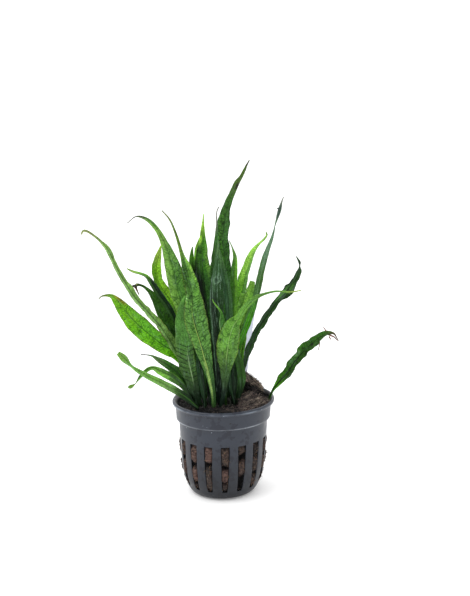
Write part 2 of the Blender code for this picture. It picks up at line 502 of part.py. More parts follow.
def build_leaf(name, turns, fold, rows, material):
    """A blade with four corners round its spine at each step, closed at the root and pointed at the tip."""
    length = sum((Vector(b[:3]) - Vector(a[:3])).length for a, b in zip(rows, rows[1:]))
    count = max(len(rows), round(length / LONGEST_STEP)) + 2
    samples = path_samples(rows, count)
    fold_angle = math.radians(fold)
    builder = bmesh.new()
    rings = []
    for index, sample in enumerate(samples[:-1]):
        before = samples[max(index - 1, 0)].xyz
        along = (samples[index + 1].xyz - before).normalized()
        facing = (BLADE_FACING - along * BLADE_FACING.dot(along)).normalized()
        share = index / (count - 1)
        turn = math.radians(turns[0] + (turns[1] - turns[0]) * share)
        facing.rotate(Matrix.Rotation(turn, 3, along))
        across = along.cross(facing)
        breadth = max(sample.w, NARROWEST)
        half = 0.5 * breadth / math.cos(turn)
        lift = facing * half * math.sin(fold_angle)
        reach = across * half * math.cos(fold_angle)
        depth = facing * 0.5 * blade_thickness(breadth)
        centre = sample.xyz - lift * 0.5
        corners = (centre - reach + lift, centre + depth, centre + reach + lift, centre - depth)
        rings.append([builder.verts.new(corner * MM) for corner in corners])
    tip = builder.verts.new(samples[-1].xyz * MM)
    builder.faces.new(rings[0])
    for lower, upper in zip(rings, rings[1:]):
        for corner in range(4):
            after = (corner + 1) % 4
            builder.faces.new((lower[corner], lower[after], upper[after], upper[corner]))
    for corner in range(4):
        builder.faces.new((rings[-1][corner], rings[-1][(corner + 1) % 4], tip))
    return add_object(name, builder, material, BASE_PLATE)


def build_stem(name, rows, sides, material):
    """A round stem of changing thickness along its spine, pointed at both ends."""
    samples = path_samples(rows, STEM_SAMPLES)
    builder = bmesh.new()
    rings = []
    for index in range(1, len(samples) - 1):
        along = (samples[index + 1].xyz - samples[index - 1].xyz).normalized()
        first = along.orthogonal().normalized()
        second = along.cross(first)
        ring = []
        for side in range(sides):
            angle = 2.0 * math.pi * side / sides
            offset = first * math.cos(angle) + second * math.sin(angle)
            ring.append(builder.verts.new((samples[index].xyz + offset * 0.5 * samples[index].w) * MM))
        rings.append(ring)
    for lower, upper in zip(rings, rings[1:]):
        for side in range(sides):
            after = (side + 1) % sides
            builder.faces.new((lower[side], lower[after], upper[after], upper[side]))
    for ring, sample in ((rings[0], samples[0]), (rings[-1], samples[-1])):
        end = builder.verts.new(sample.xyz * MM)
        for side in range(sides):
            builder.faces.new((ring[side], ring[(side + 1) % sides], end))
    return add_object(name, builder, material, BASE_PLATE)


def build_rhizome(material):
    """Creeping stems joined in one body, which all the leaves grow from."""
    stems = []
    for number, spine in enumerate(RHIZOME_STEMS):
        rows = [(*point, 2.0 * RHIZOME_RADIUS) for point in spine]
        stems.append(build_stem(f"rhizome_branch_{number}", rows, STEM_SIDES, material))
    rhizome = stems[0]
    rhizome.name = "rhizome"
    for branch in stems[1:]:
        join = rhizome.modifiers.new("join", "BOOLEAN")
        join.operation = "UNION"
        join.solver = "EXACT"
        join.object = branch
        branch.hide_render = True
        branch.display_type = "WIRE"
    return rhizome


def main():
    clear_scene()
    pot_plastic = make_material("pot_plastic", COLOURS["net_pot"], 0.5)
    wool = make_material("brown_wool", COLOURS["wool"], 0.95)
    stem = make_material("rhizome_skin", COLOURS["rhizome"], 0.7)
    label_plastic = make_material("label_plastic", COLOURS["plant_label"], 0.45)
    build_pot(pot_plastic)
    build_plug(wool)
    build_lump("front_wool_lump", FRONT_LUMP, wool)
    build_lump("rear_wool_mound", REAR_MOUND, wool)
    build_label(label_plastic)
    build_rhizome(stem)
    build_stem("stem_stub", STEM_STUB, STUB_SIDES, stem)
    for name, (root_turn, tip_turn, fold, rows) in LEAVES.items():
        blade = make_material(name + "_blade", COLOURS["leaf"], 0.45)
        build_leaf(name, (root_turn, tip_turn), fold, rows, blade)


main()
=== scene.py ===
"""Looks of the potted java fern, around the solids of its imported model."""

import math

import bmesh
import bpy
import numpy as np
from mathutils import Matrix, Vector, noise


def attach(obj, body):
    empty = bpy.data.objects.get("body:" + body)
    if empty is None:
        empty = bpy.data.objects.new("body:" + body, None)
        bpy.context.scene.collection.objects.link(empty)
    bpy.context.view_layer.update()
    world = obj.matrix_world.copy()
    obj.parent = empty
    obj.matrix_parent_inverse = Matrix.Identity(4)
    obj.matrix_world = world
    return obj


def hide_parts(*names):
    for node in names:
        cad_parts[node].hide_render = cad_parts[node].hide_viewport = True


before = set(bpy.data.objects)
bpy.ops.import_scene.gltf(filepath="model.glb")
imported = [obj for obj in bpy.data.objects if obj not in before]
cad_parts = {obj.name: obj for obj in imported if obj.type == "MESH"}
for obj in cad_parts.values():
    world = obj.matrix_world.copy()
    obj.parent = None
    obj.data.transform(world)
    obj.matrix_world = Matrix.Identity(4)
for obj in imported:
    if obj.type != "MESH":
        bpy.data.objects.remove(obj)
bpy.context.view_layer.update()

# Camera, floor and light.
# A hand-held picture from above the rim of the pot, on a white sweep. Soft light comes from above and from
# the white all round, more of it from behind the plant than from the viewer's side.

IMAGE_HEIGHT_PX = 596
FOCAL_PX = 917.0
SENSOR_MM = 36.0
CAMERA_PLACE = Vector((0.0, -0.473, 0.2025))
CAMERA_PITCH_DEG = 11.55
CAMERA_YAW_DEG = -0.93
CAMERA_ROLL_DEG = -1.52
# Brightness of the white surroundings: towards the viewer, behind the plant, and what is added overhead
SWEEP_FRONT = 0.22
SWEEP_BACK = 1.1
SWEEP_OVERHEAD = 1.2
# How far back the brightening starts and ends, from -1 behind the viewer to 1 behind the plant
SWEEP_TURN = (-0.4, 0.8)
SOFTBOX_PLACE = Vector((-0.55, -0.25, 0.85))
SOFTBOX_AIM = Vector((0.0, 0.0, 0.08))
SOFTBOX_WATTS = 4.0
SOFTBOX_SIZE = 0.6
# The white table is lit a little from below, so that shadows on it are as faint as in the picture.
TABLE_GLOW = 0.15
TABLE_HALF_SIZE = 6.0


def linear(code):
    """The linear colour, with its alpha, of an sRGB hex code."""
    channels = [int(code[at:at + 2], 16) / 255.0 for at in (1, 3, 5)]
    return (*(c / 12.92 if c <= 0.04045 else ((c + 0.055) / 1.055) ** 2.4 for c in channels), 1.0)


def add_node(tree, kind, inputs=None, **settings):
    """A node with its settings. Each input is a value, an sRGB code, a node or one of a node's outputs."""
    node = tree.nodes.new("ShaderNode" + kind)
    for name, value in settings.items():
        setattr(node, name, value)
    for socket, value in (inputs or {}).items():
        if isinstance(value, bpy.types.Node):
            value = next(output for output in value.outputs if output.enabled)
        if isinstance(value, bpy.types.NodeSocket):
            tree.links.new(value, node.inputs[socket])
        else:
            node.inputs[socket].default_value = linear(value) if isinstance(value, str) else value
    return node


def new_material(name):
    """A material and its empty tree."""
    material = bpy.data.materials.new(name)
    material.use_nodes = True
    material.node_tree.nodes.clear()
    return material, material.node_tree


def finish_material(tree, inputs):
    """Ends a tree in its surface, whose inputs are what feeds them or what they are all over."""
    surface = add_node(tree, "BsdfPrincipled", inputs)
    add_node(tree, "OutputMaterial", {"Surface": surface})


def link_object(name, data):
    obj = bpy.data.objects.new(name, data)
    bpy.context.scene.collection.objects.link(obj)
    return obj


camera_data = bpy.data.cameras.new("camera")
camera_data.sensor_width = SENSOR_MM
camera_data.lens = FOCAL_PX / IMAGE_HEIGHT_PX * SENSOR_MM
camera = link_object("camera", camera_data)
camera.matrix_world = (Matrix.Translation(CAMERA_PLACE)
                       @ Matrix.Rotation(math.radians(CAMERA_YAW_DEG), 4, "Z")
                       @ Matrix.Rotation(math.radians(90.0 - CAMERA_PITCH_DEG), 4, "X")
                       @ Matrix.Rotation(math.radians(CAMERA_ROLL_DEG), 4, "Z"))
bpy.context.scene.camera = camera
bpy.context.scene.view_settings.view_transform = "Standard"

world = bpy.data.worlds.new("white_sweep")
bpy.context.scene.world = world
world.use_nodes = True
sweep = world.node_tree
toward = add_node(sweep, "SeparateXYZ", {"Vector": add_node(sweep, "TexCoord").outputs["Generated"]})
around = add_node(sweep, "MapRange", {"Value": toward.outputs["Y"], "From Min": SWEEP_TURN[0],
                                      "From Max": SWEEP_TURN[1], "To Min": SWEEP_FRONT,
                                      "To Max": SWEEP_BACK})
overhead = add_node(sweep, "MapRange", {"Value": toward.outputs["Z"], "To Max": SWEEP_OVERHEAD})
brightness = add_node(sweep, "Math", {0: around, 1: overhead}, operation="ADD")
sweep.links.new(brightness.outputs[0], sweep.nodes["Background"].inputs["Strength"])
sweep.nodes["Background"].inputs["Color"].default_value = (1.0, 1.0, 1.0, 1.0)

softbox_data = bpy.data.lights.new("top_left_softbox", "AREA")
softbox_data.energy = SOFTBOX_WATTS
softbox_data.size = SOFTBOX_SIZE
softbox = link_object("top_left_softbox", softbox_data)
softbox.location = SOFTBOX_PLACE
softbox.rotation_euler = (SOFTBOX_AIM - SOFTBOX_PLACE).to_track_quat("-Z", "Y").to_euler()

floor_mesh = bpy.data.meshes.new("floor")
floor_builder = bmesh.new()
bmesh.ops.create_grid(floor_builder, x_segments=1, y_segments=1, size=TABLE_HALF_SIZE)
floor_builder.to_mesh(floor_mesh)
floor_builder.free()
floor = link_object("floor", floor_mesh)
# Matt white paper: it shows only soft shadows.
paper, tree = new_material("white_paper")
finish_material(tree, {"Base Color": (0.9, 0.9, 0.9, 1.0), "Roughness": 0.8, "Specular IOR Level": 0.0,
                       "Emission Color": (1.0, 1.0, 1.0, 1.0), "Emission Strength": TABLE_GLOW})
floor_mesh.materials.append(paper)

# Net pot.
# One injection-moulded cup of slate-grey polypropylene, about 1 mm thick, with sixteen tapering slots,
# a thicker bead round the rim and a step under the collar. It stands on its flat base and leans a little.

# Sizes are in millimetres from here on.
MM = 0.001
POT_HEIGHT = 51.5
RIM_RADIUS = 27.5
RIM_BEAD = 2.2
RIM_ROUND = 0.9
COLLAR_TOP_RADIUS = 25.7
COLLAR_FOOT_RADIUS = 25.4
STEP_HEIGHT = 41.4
WALL = 1.0
BASE_PLATE = 1.5
# Outside of the body from the edge of the base up to the collar, as radius and height
BODY = (
    (14.6, 0.0), (17.2, 0.9), (18.8, 2.8), (19.9, 5.3), (21.1, 8.5), (21.9, 12.0),
    (22.8, 19.0), (23.5, 31.5), (23.8, 41.1),
)
INNER_FOOT = ((17.2, 2.6), (14.4, BASE_PLATE), (7.3, BASE_PLATE))
POT_LEAN = 1.5
SLOTS = 16
SLOT_TOP = 31.5
SLOT_FOOT = 5.3
SLOT_FOOT_RADIUS = 19.9
SLOT_TOP_WIDTH = 4.6
SLOT_FOOT_WIDTH = 2.3
SLOT_START = math.radians(-88.0)
SLOT_PITCH = 2.0 * math.pi / SLOTS
SLOT_STEPS = 6
RIB_STEPS = 6
BODY_STEPS = 4
COLLAR_STEPS = 4
BEAD_STEPS = 9
BEAD_START_DEG = -80.0
BEAD_STEP_DEG = 22.0
# Where the rim turns down inside: in from its outside, and down from its top
RIM_TURN = ((1.2, 0.08), (1.4, 0.25))
POT_EDGE_ROUND = 0.2
SHARP_EDGE_DEG = 50.0
# A painted highlight runs round the collar's lower edge: its height, and the half-widths where it is full
# and where it has faded.
PARTING_LINE_HEIGHT = STEP_HEIGHT + 0.35
PARTING_LINE_HALF = 0.15
PARTING_LINE_SOFT = 0.4
FOOT_SHADE_TOP = 36.0
STAIN_MM = 4.5
HAZE_MM = 16.7
MOULD_GRAIN_MM = 0.5
SPECK_MM = 2.2
GRIT_MM = 3.6
DOT_RADIUS_SHARE = 0.12


def mesh_object(name, points, faces, material):
    """A smooth-shaded object from points in millimetres and faces."""
    mesh = bpy.data.meshes.new(name)
    mesh.from_pydata((np.asarray(points) * MM).tolist(), [], faces)
    mesh.validate()
    mesh.polygons.foreach_set("use_smooth", [True] * len(mesh.polygons))
    mesh.materials.append(material)
    return link_object(name, mesh)


def turn_faces_out(obj):
    builder = bmesh.new()
    builder.from_mesh(obj.data)
    bmesh.ops.recalc_face_normals(builder, faces=builder.faces)
    builder.to_mesh(obj.data)
    builder.free()


def paint(mesh, kind, **layers):
    """Keeps values of one kind at each point of a mesh, a layer for each name."""
    kept = mesh.color_attributes if kind == "FLOAT_COLOR" else mesh.attributes
    field = {"FLOAT": "value", "FLOAT_VECTOR": "vector", "FLOAT_COLOR": "color"}[kind]
    for name, values in layers.items():
        layer = kept.new(name, kind, "POINT")
        layer.data.foreach_set(field, np.asarray(values, np.float32).ravel())


def knot_places(rows):
    """How far each row is along the straight runs from row to row."""
    runs = np.linalg.norm(np.diff(np.array(rows, float)[:, :3], axis=0), axis=1)
    return np.concatenate([[0.0], np.cumsum(runs)])


def curve_through(rows, places):
    """Values at places along a smooth curve through the rows, which start with two or three coordinates."""
    points = np.array(rows, float)
    knots = knot_places(rows)
    before = np.maximum(np.arange(len(points)) - 1, 0)
    after = np.minimum(np.arange(len(points)) + 1, len(points) - 1)
    slopes = (points[after] - points[before]) / (knots[after] - knots[before])[:, None]
    part = np.clip(np.searchsorted(knots, places, side="right") - 1, 0, len(points) - 2)
    run = (knots[part + 1] - knots[part])[:, None]
    share = (places - knots[part])[:, None] / run
    square = share * share
    cube = square * share
    return (points[part] * (2.0 * cube - 3.0 * square + 1.0)
            + slopes[part] * run * (cube - 2.0 * square + share)
            + points[part + 1] * (3.0 * square - 2.0 * cube) + slopes[part + 1] * run * (cube - square))


body_knots = knot_places(BODY)
body_places = []
for low, high in zip(body_knots, body_knots[1:]):
    body_places.append(np.linspace(low, high, BODY_STEPS, endpoint=False))
BODY_CURVE = curve_through(BODY, np.append(np.concatenate(body_places), body_knots[-1]))


def body_radius(height):
    return float(np.interp(height, BODY_CURVE[:, 1], BODY_CURVE[:, 0]))


def lean_at(height):
    """How far the middle of the pot is from the middle of its rim at a height."""
    return POT_LEAN * (height / POT_HEIGHT - 1.0)


def part_way(value, low, high):
    """How much of the way from low to high a value has come, from 0 to 1."""
    return min(max((value - low) / (high - low), 0.0), 1.0)


def slot_half_angle(height):
    share = part_way(height, SLOT_FOOT, SLOT_TOP)
    width = SLOT_FOOT_WIDTH + (SLOT_TOP_WIDTH - SLOT_FOOT_WIDTH) * math.sqrt(share)
    return 0.5 * width / max(body_radius(height), SLOT_FOOT_RADIUS)


def pot_outline():
    """The wall as radius and height, up the outside, over the rim and down inside, with its slots' rows."""
    body = [tuple(row) for row in BODY_CURVE]
    heights = [height for _, height in BODY]
    foot_row = heights.index(SLOT_FOOT) * BODY_STEPS
    top_row = heights.index(SLOT_TOP) * BODY_STEPS
    outline = [(0.5 * BODY[0][0], 0.0), *body, (COLLAR_FOOT_RADIUS, STEP_HEIGHT)]
    rim_foot = POT_HEIGHT - RIM_BEAD
    for step in range(1, COLLAR_STEPS + 1):
        share = step / COLLAR_STEPS
        radius = COLLAR_FOOT_RADIUS + (COLLAR_TOP_RADIUS - COLLAR_FOOT_RADIUS) * share
        outline.append((radius, STEP_HEIGHT + (rim_foot - STEP_HEIGHT) * share))
    for step in range(BEAD_STEPS):
        angle = math.radians(BEAD_START_DEG + BEAD_STEP_DEG * step)
        outline.append((RIM_RADIUS - RIM_ROUND + RIM_ROUND * math.cos(angle),
                        POT_HEIGHT - 0.5 * RIM_BEAD * (1.0 - math.sin(angle))))
    outline += [(RIM_RADIUS - inward, POT_HEIGHT - down) for inward, down in RIM_TURN]
    outline += [
        (COLLAR_TOP_RADIUS - 0.4 * WALL, POT_HEIGHT - 0.5 * RIM_BEAD),
        (COLLAR_TOP_RADIUS - WALL, rim_foot), (COLLAR_FOOT_RADIUS - WALL, STEP_HEIGHT + WALL),
    ]
    inner = [(radius - WALL, height) for radius, height in reversed(body[foot_row:])]
    inner[0] = (inner[0][0], inner[0][1] - 0.3 * WALL)
    inner_top = len(outline) + len(body) - 1 - top_row
    return [*outline, *inner, *INNER_FOOT], 1 + foot_row, 1 + top_row, inner_top


def paint_pot(mesh):
    """Marks the wall's inside for painted shade, and a band round the rim bead for a painted highlight."""
    inside = []
    lip = []
    for vert in mesh.vertices:
        x, y, z = vert.co / MM
        radius = math.hypot(x - lean_at(z), y)
        # How far the point is inside the wall, where the pot is painted in shade.
        if z > POT_HEIGHT - RIM_BEAD:
            inside.append(part_way(RIM_RADIUS - radius, 1.2, 1.35))
        elif z > STEP_HEIGHT + WALL:
            inside.append(part_way(COLLAR_TOP_RADIUS - radius, 0.5 * WALL, 0.9 * WALL))
        else:
            inside.append(part_way(body_radius(z) - radius, 0.35 * WALL, 0.8 * WALL))
        # Painted highlight: a narrow band round the outermost part of the rim bead.
        on_bead = part_way(z, POT_HEIGHT - 1.7, POT_HEIGHT - 1.4) * part_way(POT_HEIGHT - z, 0.6, 0.9)
        lip.append(on_bead * part_way(radius, RIM_RADIUS - 0.5, RIM_RADIUS - 0.3))
    paint(mesh, "FLOAT", pot_inside=inside, pot_lip=lip)


def pot_mesh(material):
    outline, outer_foot, outer_top, inner_top = pot_outline()
    inner_foot = inner_top + outer_top - outer_foot
    columns = SLOT_STEPS + RIB_STEPS
    count = SLOTS * columns
    points = []
    for radius, height in outline:
        half = slot_half_angle(height)
        for column in range(count):
            slot, step = divmod(column, columns)
            middle = SLOT_START + slot * SLOT_PITCH
            if step <= SLOT_STEPS:
                angle = middle - half + 2.0 * half * step / SLOT_STEPS
            else:
                angle = middle + half + (SLOT_PITCH - 2.0 * half) * (step - SLOT_STEPS) / RIB_STEPS
            points.append((lean_at(height) + radius * math.cos(angle), radius * math.sin(angle), height))
    faces = []
    for row in range(len(outline) - 1):
        open_rows = outer_foot <= row < outer_top or inner_top <= row < inner_foot
        for column in range(count):
            if not (open_rows and column % columns < SLOT_STEPS):
                after = (column + 1) % count
                faces.append((row * count + column, row * count + after,
                              (row + 1) * count + after, (row + 1) * count + column))
    for slot in range(SLOTS):
        for side in (0, SLOT_STEPS):
            column = slot * columns + side
            for step in range(outer_top - outer_foot):
                outer = (outer_foot + step) * count + column
                inner = (inner_foot - step) * count + column
                faces.append((outer, outer + count, inner - count, inner))
        for step in range(SLOT_STEPS):
            column = slot * columns + step
            for outer, inner in ((outer_foot, inner_foot), (outer_top, inner_top)):
                faces.append((outer * count + column, outer * count + column + 1,
                              inner * count + column + 1, inner * count + column))
    last = (len(outline) - 1) * count
    faces += [tuple(range(count)), tuple(range(last, last + count))]
    pot = mesh_object("net_pot_shell", points, faces, material)
    turn_faces_out(pot)
    bevel = pot.modifiers.new("edge_round", "BEVEL")
    bevel.width = POT_EDGE_ROUND * MM
    bevel.segments = 2
    bevel.limit_method = "ANGLE"
    bevel.angle_limit = math.radians(SHARP_EDGE_DEG)
    graph = bpy.context.evaluated_depsgraph_get()
    rounded = bpy.data.meshes.new_from_object(pot.evaluated_get(graph))
    pot.modifiers.clear()
    pot.data = rounded
    paint_pot(rounded)
    return pot


def scattered_dots(tree, place, cell_mm, channel, rarity):
    """Round dots in the middle of the few cells whose colour channel is above rarity."""
    cells = add_node(tree, "TexVoronoi", {"Vector": place, "Scale": 1000.0 / cell_mm})
    pick = add_node(tree, "SeparateColor", {"Color": cells.outputs["Color"]})
    chosen = add_node(tree, "Math", {0: pick.outputs[channel], 1: rarity}, operation="GREATER_THAN")
    rounds = add_node(tree, "Math", {0: cells, 1: DOT_RADIUS_SHARE}, operation="LESS_THAN")
    return add_node(tree, "Math", {0: chosen, 1: rounds}, operation="MULTIPLY")


# Moulded polypropylene: a dull sheen that turns pale towards the outline, with darker stains where it was
# wet, painted highlights along the rim bead and the collar's lower edge, painted shade on the foot and
# inside, fine mould grain, and a few specks of lime and grit.
pot_plastic, tree = new_material("moulded_polypropylene")
place = add_node(tree, "TexCoord").outputs["Object"]
clouds = add_node(tree, "TexNoise", {"Vector": place, "Scale": 1000.0 / STAIN_MM, "Detail": 4.0,
                                     "Roughness": 0.6})
stain = add_node(tree, "MapRange", {"Value": clouds, "From Min": 0.54, "From Max": 0.58, "To Max": 0.9})
haze = add_node(tree, "TexNoise", {"Vector": place, "Scale": 1000.0 / HAZE_MM, "Detail": 3.0})
dull = add_node(tree, "Mix", {"Factor": haze, 6: "#242933", 7: "#303642"}, data_type="RGBA")
stained = add_node(tree, "Mix", {"Factor": stain, 6: dull, 7: "#161b29"}, data_type="RGBA")
specks = scattered_dots(tree, place, SPECK_MM, 0, 0.95)
dusted = add_node(tree, "Mix", {"Factor": specks, 6: stained, 7: "#8d95a0"}, data_type="RGBA")
# Painted highlight: a pale line along the collar's lower edge, just above the step, made patchy by the haze.
axes = add_node(tree, "SeparateXYZ", {"Vector": place})
from_line = add_node(tree, "Math", {0: axes.outputs["Z"], 1: PARTING_LINE_HEIGHT * MM}, operation="SUBTRACT")
line_off = add_node(tree, "Math", {0: from_line}, operation="ABSOLUTE")
parting = add_node(tree, "MapRange", {"Value": line_off, "From Min": PARTING_LINE_HALF * MM,
                                      "From Max": PARTING_LINE_SOFT * MM, "To Min": 1.0, "To Max": 0.0})
rubbed = add_node(tree, "MapRange", {"Value": haze, "From Min": 0.4, "From Max": 0.62, "To Min": 0.1,
                                     "To Max": 0.75})
parting_share = add_node(tree, "Math", {0: parting, 1: rubbed}, operation="MULTIPLY")
lined = add_node(tree, "Mix", {"Factor": parting_share, 6: dusted, 7: "#a0a6ae"}, data_type="RGBA")
# Painted shade and light: the foot is painted darker, the rim bead gets a painted highlight, and the
# inside is painted nearly black as shade.
foot_shade = add_node(tree, "MapRange", {"Value": axes.outputs["Z"], "From Max": FOOT_SHADE_TOP * MM,
                                         "To Min": 0.24})
footed = add_node(tree, "Mix", {"Factor": 1.0, 6: lined, 7: foot_shade}, data_type="RGBA",
                  blend_type="MULTIPLY")
inside = add_node(tree, "Attribute", attribute_name="pot_inside").outputs["Fac"]
lip = add_node(tree, "Attribute", attribute_name="pot_lip").outputs["Fac"]
# The rim bead's painted highlight, made patchy by the haze.
lip_rubbed = add_node(tree, "MapRange", {"Value": haze, "From Min": 0.44, "From Max": 0.6, "To Min": 0.12,
                                         "To Max": 0.85})
lip_share = add_node(tree, "Math", {0: lip, 1: lip_rubbed}, operation="MULTIPLY")
lipped = add_node(tree, "Mix", {"Factor": lip_share, 6: footed, 7: "#7e8894"}, data_type="RGBA")
grit = scattered_dots(tree, place, GRIT_MM, 1, 0.9)
gritty = add_node(tree, "Mix", {"Factor": grit, 6: lipped, 7: "#08080a"}, data_type="RGBA")
# Painted shade: the inside of the pot is painted nearly black.
wetted = add_node(tree, "Mix", {"Factor": inside, 6: gritty, 7: "#050608"}, data_type="RGBA")
gloss = add_node(tree, "MapRange", {"Value": stain, "To Min": 0.42, "To Max": 0.28})
grain = add_node(tree, "TexNoise", {"Vector": place, "Scale": 1000.0 / MOULD_GRAIN_MM, "Detail": 3.0})
bump = add_node(tree, "Bump", {"Height": grain, "Strength": 0.25, "Distance": 0.05 * MM})
finish_material(tree, {"Base Color": wetted, "Roughness": gloss, "Normal": bump, "IOR": 1.49,
                       "Specular IOR Level": 0.4, "Sheen Weight": 0.18, "Sheen Roughness": 0.25,
                       "Sheen Tint": "#c8ccd4"})

pot_shell = pot_mesh(pot_plastic)
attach(pot_shell, "root")
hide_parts("net_pot")

# Wool.
# Brown mineral wool with dead roots through it, torn into lumps. It is pressed into the pot, swells a
# little through the slots, and stands up in two lumps at the right of the plant.

WOOL_COLUMNS = 320
WOOL_SIDE_ROWS = 88
WOOL_TOP_RINGS = 60
WOOL_FOOT = 1.8
WOOL_EDGE = 48.4
WOOL_TOP = 46.9
WOOL_GAP = 0.25
# The wool's top rises towards the wall, and over the rhizome's front between these places
WALL_RISE = 1.5
WALL_RISE_RADII = (17.0, 23.0)
FRONT_RISE = 3.6
FRONT_RISE_FORWARD = (8.0, 13.0)
FRONT_RISE_X = (-19.0, -11.0)
SLOT_SWELL = 1.7
CRACK_DEPTH = 1.6
WOOL_FIBRE_MM = 0.35
WOOL_HUE_MM = 6.25
TOP_RED = 0.05
# Lumps in the slots that face the viewer, counted round from the front one: the height of a lump's
# middle, half its height, how light it is and how red. Cracks are left between them, sunk and painted black
# as shade.
SLOT_LUMPS = {
    0: ((26.4, 6.2, 0.46, 0.25), (15.4, 4.3, 0.58, 0.95), (8.2, 3.2, 0.34, 0.35)),
    1: ((29.8, 3.2, 0.42, 0.15), (19.4, 5.0, 0.45, 0.5), (5.4, 1.6, 0.25, 0.3)),
    2: ((28.0, 4.0, 0.3, 0.3), (19.2, 5.4, 0.42, 0.2), (10.2, 3.6, 0.45, 0.4)),
    3: ((27.0, 5.0, 0.4, 0.4), (17.4, 4.6, 0.6, 0.35), (9.0, 3.6, 0.35, 0.4)),
    4: ((28.6, 4.4, 0.5, 0.4), (17.6, 4.8, 0.5, 0.5), (8.8, 3.8, 0.4, 0.4)),
    12: ((26.4, 6.2, 0.5, 0.4), (15.0, 4.9, 0.4, 0.5), (7.6, 2.6, 0.3, 0.5)),
    13: ((27.4, 5.4, 0.45, 0.4), (16.6, 5.2, 0.45, 0.6), (8.2, 3.0, 0.3, 0.5)),
    14: ((26.2, 5.8, 0.58, 0.8), (14.6, 4.9, 0.62, 0.9), (6.6, 2.8, 0.25, 0.4)),
    15: ((27.2, 4.9, 0.6, 0.95), (13.6, 8.2, 0.46, 0.1)),
}
OTHER_SLOT_LUMPS = (
    ((27.0, 5.4, 0.5, 0.5), (15.6, 5.6, 0.5, 0.8), (7.8, 2.6, 0.3, 0.4)),
    ((28.2, 4.2, 0.45, 0.3), (18.6, 4.9, 0.55, 0.7), (9.4, 4.2, 0.5, 0.3)),
)
# Corners of the lumps, with heights from the top of the base plate
FRONT_LUMP = (
    (10.8, -4.6, 52.3), (14.0, -3.6, 54.0), (19.5, -5.4, 51.8), (22.8, -6.8, 49.4),
    (11.0, -3.4, 46.6), (18.0, -3.4, 46.6), (22.8, -5.4, 46.6), (9.6, -21.4, 46.6),
    (14.0, -19.2, 46.9), (18.8, -14.8, 47.2), (22.4, -8.8, 47.2), (12.4, -12.0, 51.2),
    (17.4, -10.0, 50.4), (9.6, -15.0, 49.6), (9.9, -7.6, 50.6), (12.0, -17.0, 49.4),
)
REAR_MOUND = (
    (11.2, 13.4, 60.6), (8.4, 14.0, 59.8), (4.4, 14.4, 57.0), (13.4, 13.4, 59.4),
    (16.1, 13.0, 57.2), (18.8, 12.0, 54.8), (21.2, 10.2, 52.4), (4.0, 15.6, 50.0),
    (12.0, 15.8, 53.6), (14.6, 16.0, 49.6), (-1.0, 15.4, 46.6), (13.6, 16.2, 46.6),
    (20.2, 11.6, 46.6), (22.4, 7.2, 46.6), (18.6, 3.4, 46.6), (12.4, 6.0, 46.6),
    (10.2, 9.8, 51.0), (17.0, 5.6, 50.6), (3.0, 13.2, 47.0), (13.0, 8.2, 55.0),
)
# How light and how red each lump is, and how steeply its torn layers rise to the right
FRONT_LIGHT, FRONT_RED, FRONT_LAYER_RISE = 0.51, 0.12, 0.42
REAR_LIGHT, REAR_RED, REAR_LAYER_RISE = 0.67, 0.08, -0.8
LUMP_ROUNDS = 5
LUMP_SMOOTH_POINTS = 400
LUMP_FACES = 20000
LUMP_SWELL = 0.7
# Sizes of a lump's torn layers and of its rough and fine clumps
LAYER_MM = 1.1
ROUGH_MM = 3.6
FINE_MM = 0.6
# The front lump is painted dark, as shade, between these places beside the wall of the pot.
FRONT_DARK_X = (20.4, 22.6)
# Painted shade in the hollow under the rear mound's ridge: its height at one place along x, how steeply that
# falls to the right and towards the back, how ragged it is, and how far below it the painted shade darkens
# the wool and lightens again
HOLLOW_HEIGHT = 61.3
HOLLOW_X = 10.0
HOLLOW_FALL = 0.67
HOLLOW_BACK_FALL = 0.2
HOLLOW_RAGGED = 1.2
HOLLOW_RAGGED_MM = 2.5
HOLLOW_DARKENS = (0.0, 1.5)
HOLLOW_LIGHTENS = (4.5, 6.5)


def clumps(x, y, z, size):
    """Lumpy noise from about -1 to 1 at a place in millimetres."""
    return noise.fractal(Vector((x, y, z)) / size, 0.9, 2.1, 4)


def lump_in_slot(slot, x, y, z):
    """How far inside the nearest lump of a slot a place is, up to 1, and how light and red that lump is."""
    lumps = SLOT_LUMPS.get(slot, OTHER_SLOT_LUMPS[slot % len(OTHER_SLOT_LUMPS)])
    wavy = z + 1.1 * noise.noise(Vector((x, y, 0.4 * z)) / 2.4) + 0.4 * noise.noise(Vector((x, y, z)) / 0.9)
    found = (0.0, 0.0, 0.0)
    for middle, half_height, light, redness in lumps:
        inside = 1.0 - abs(wavy - middle) / half_height
        if inside > found[0]:
            found = (inside, light, redness)
    return found


def wool_in_slot(x, y, height, across, slot):
    """How far the wool stands out of a slot at a place, how light it is there and how red. Between lumps
    it is painted black, as shade in the cracks.
    """
    up = part_way(height, SLOT_FOOT, SLOT_TOP)
    open_share = (1.0 - across ** 4) * min(1.0, 9.0 * up, 9.0 * (1.0 - up))
    inside, light, redness = lump_in_slot(slot, x, y, height)
    fine = clumps(x, y, height * 2.2, 1.3)
    rise = math.sqrt(min(inside * 2.2, 1.0))
    swell = open_share * (SLOT_SWELL * rise - CRACK_DEPTH * (1.0 - rise) + 0.35 * fine)
    return swell, light * rise + 0.3 * fine * rise, redness


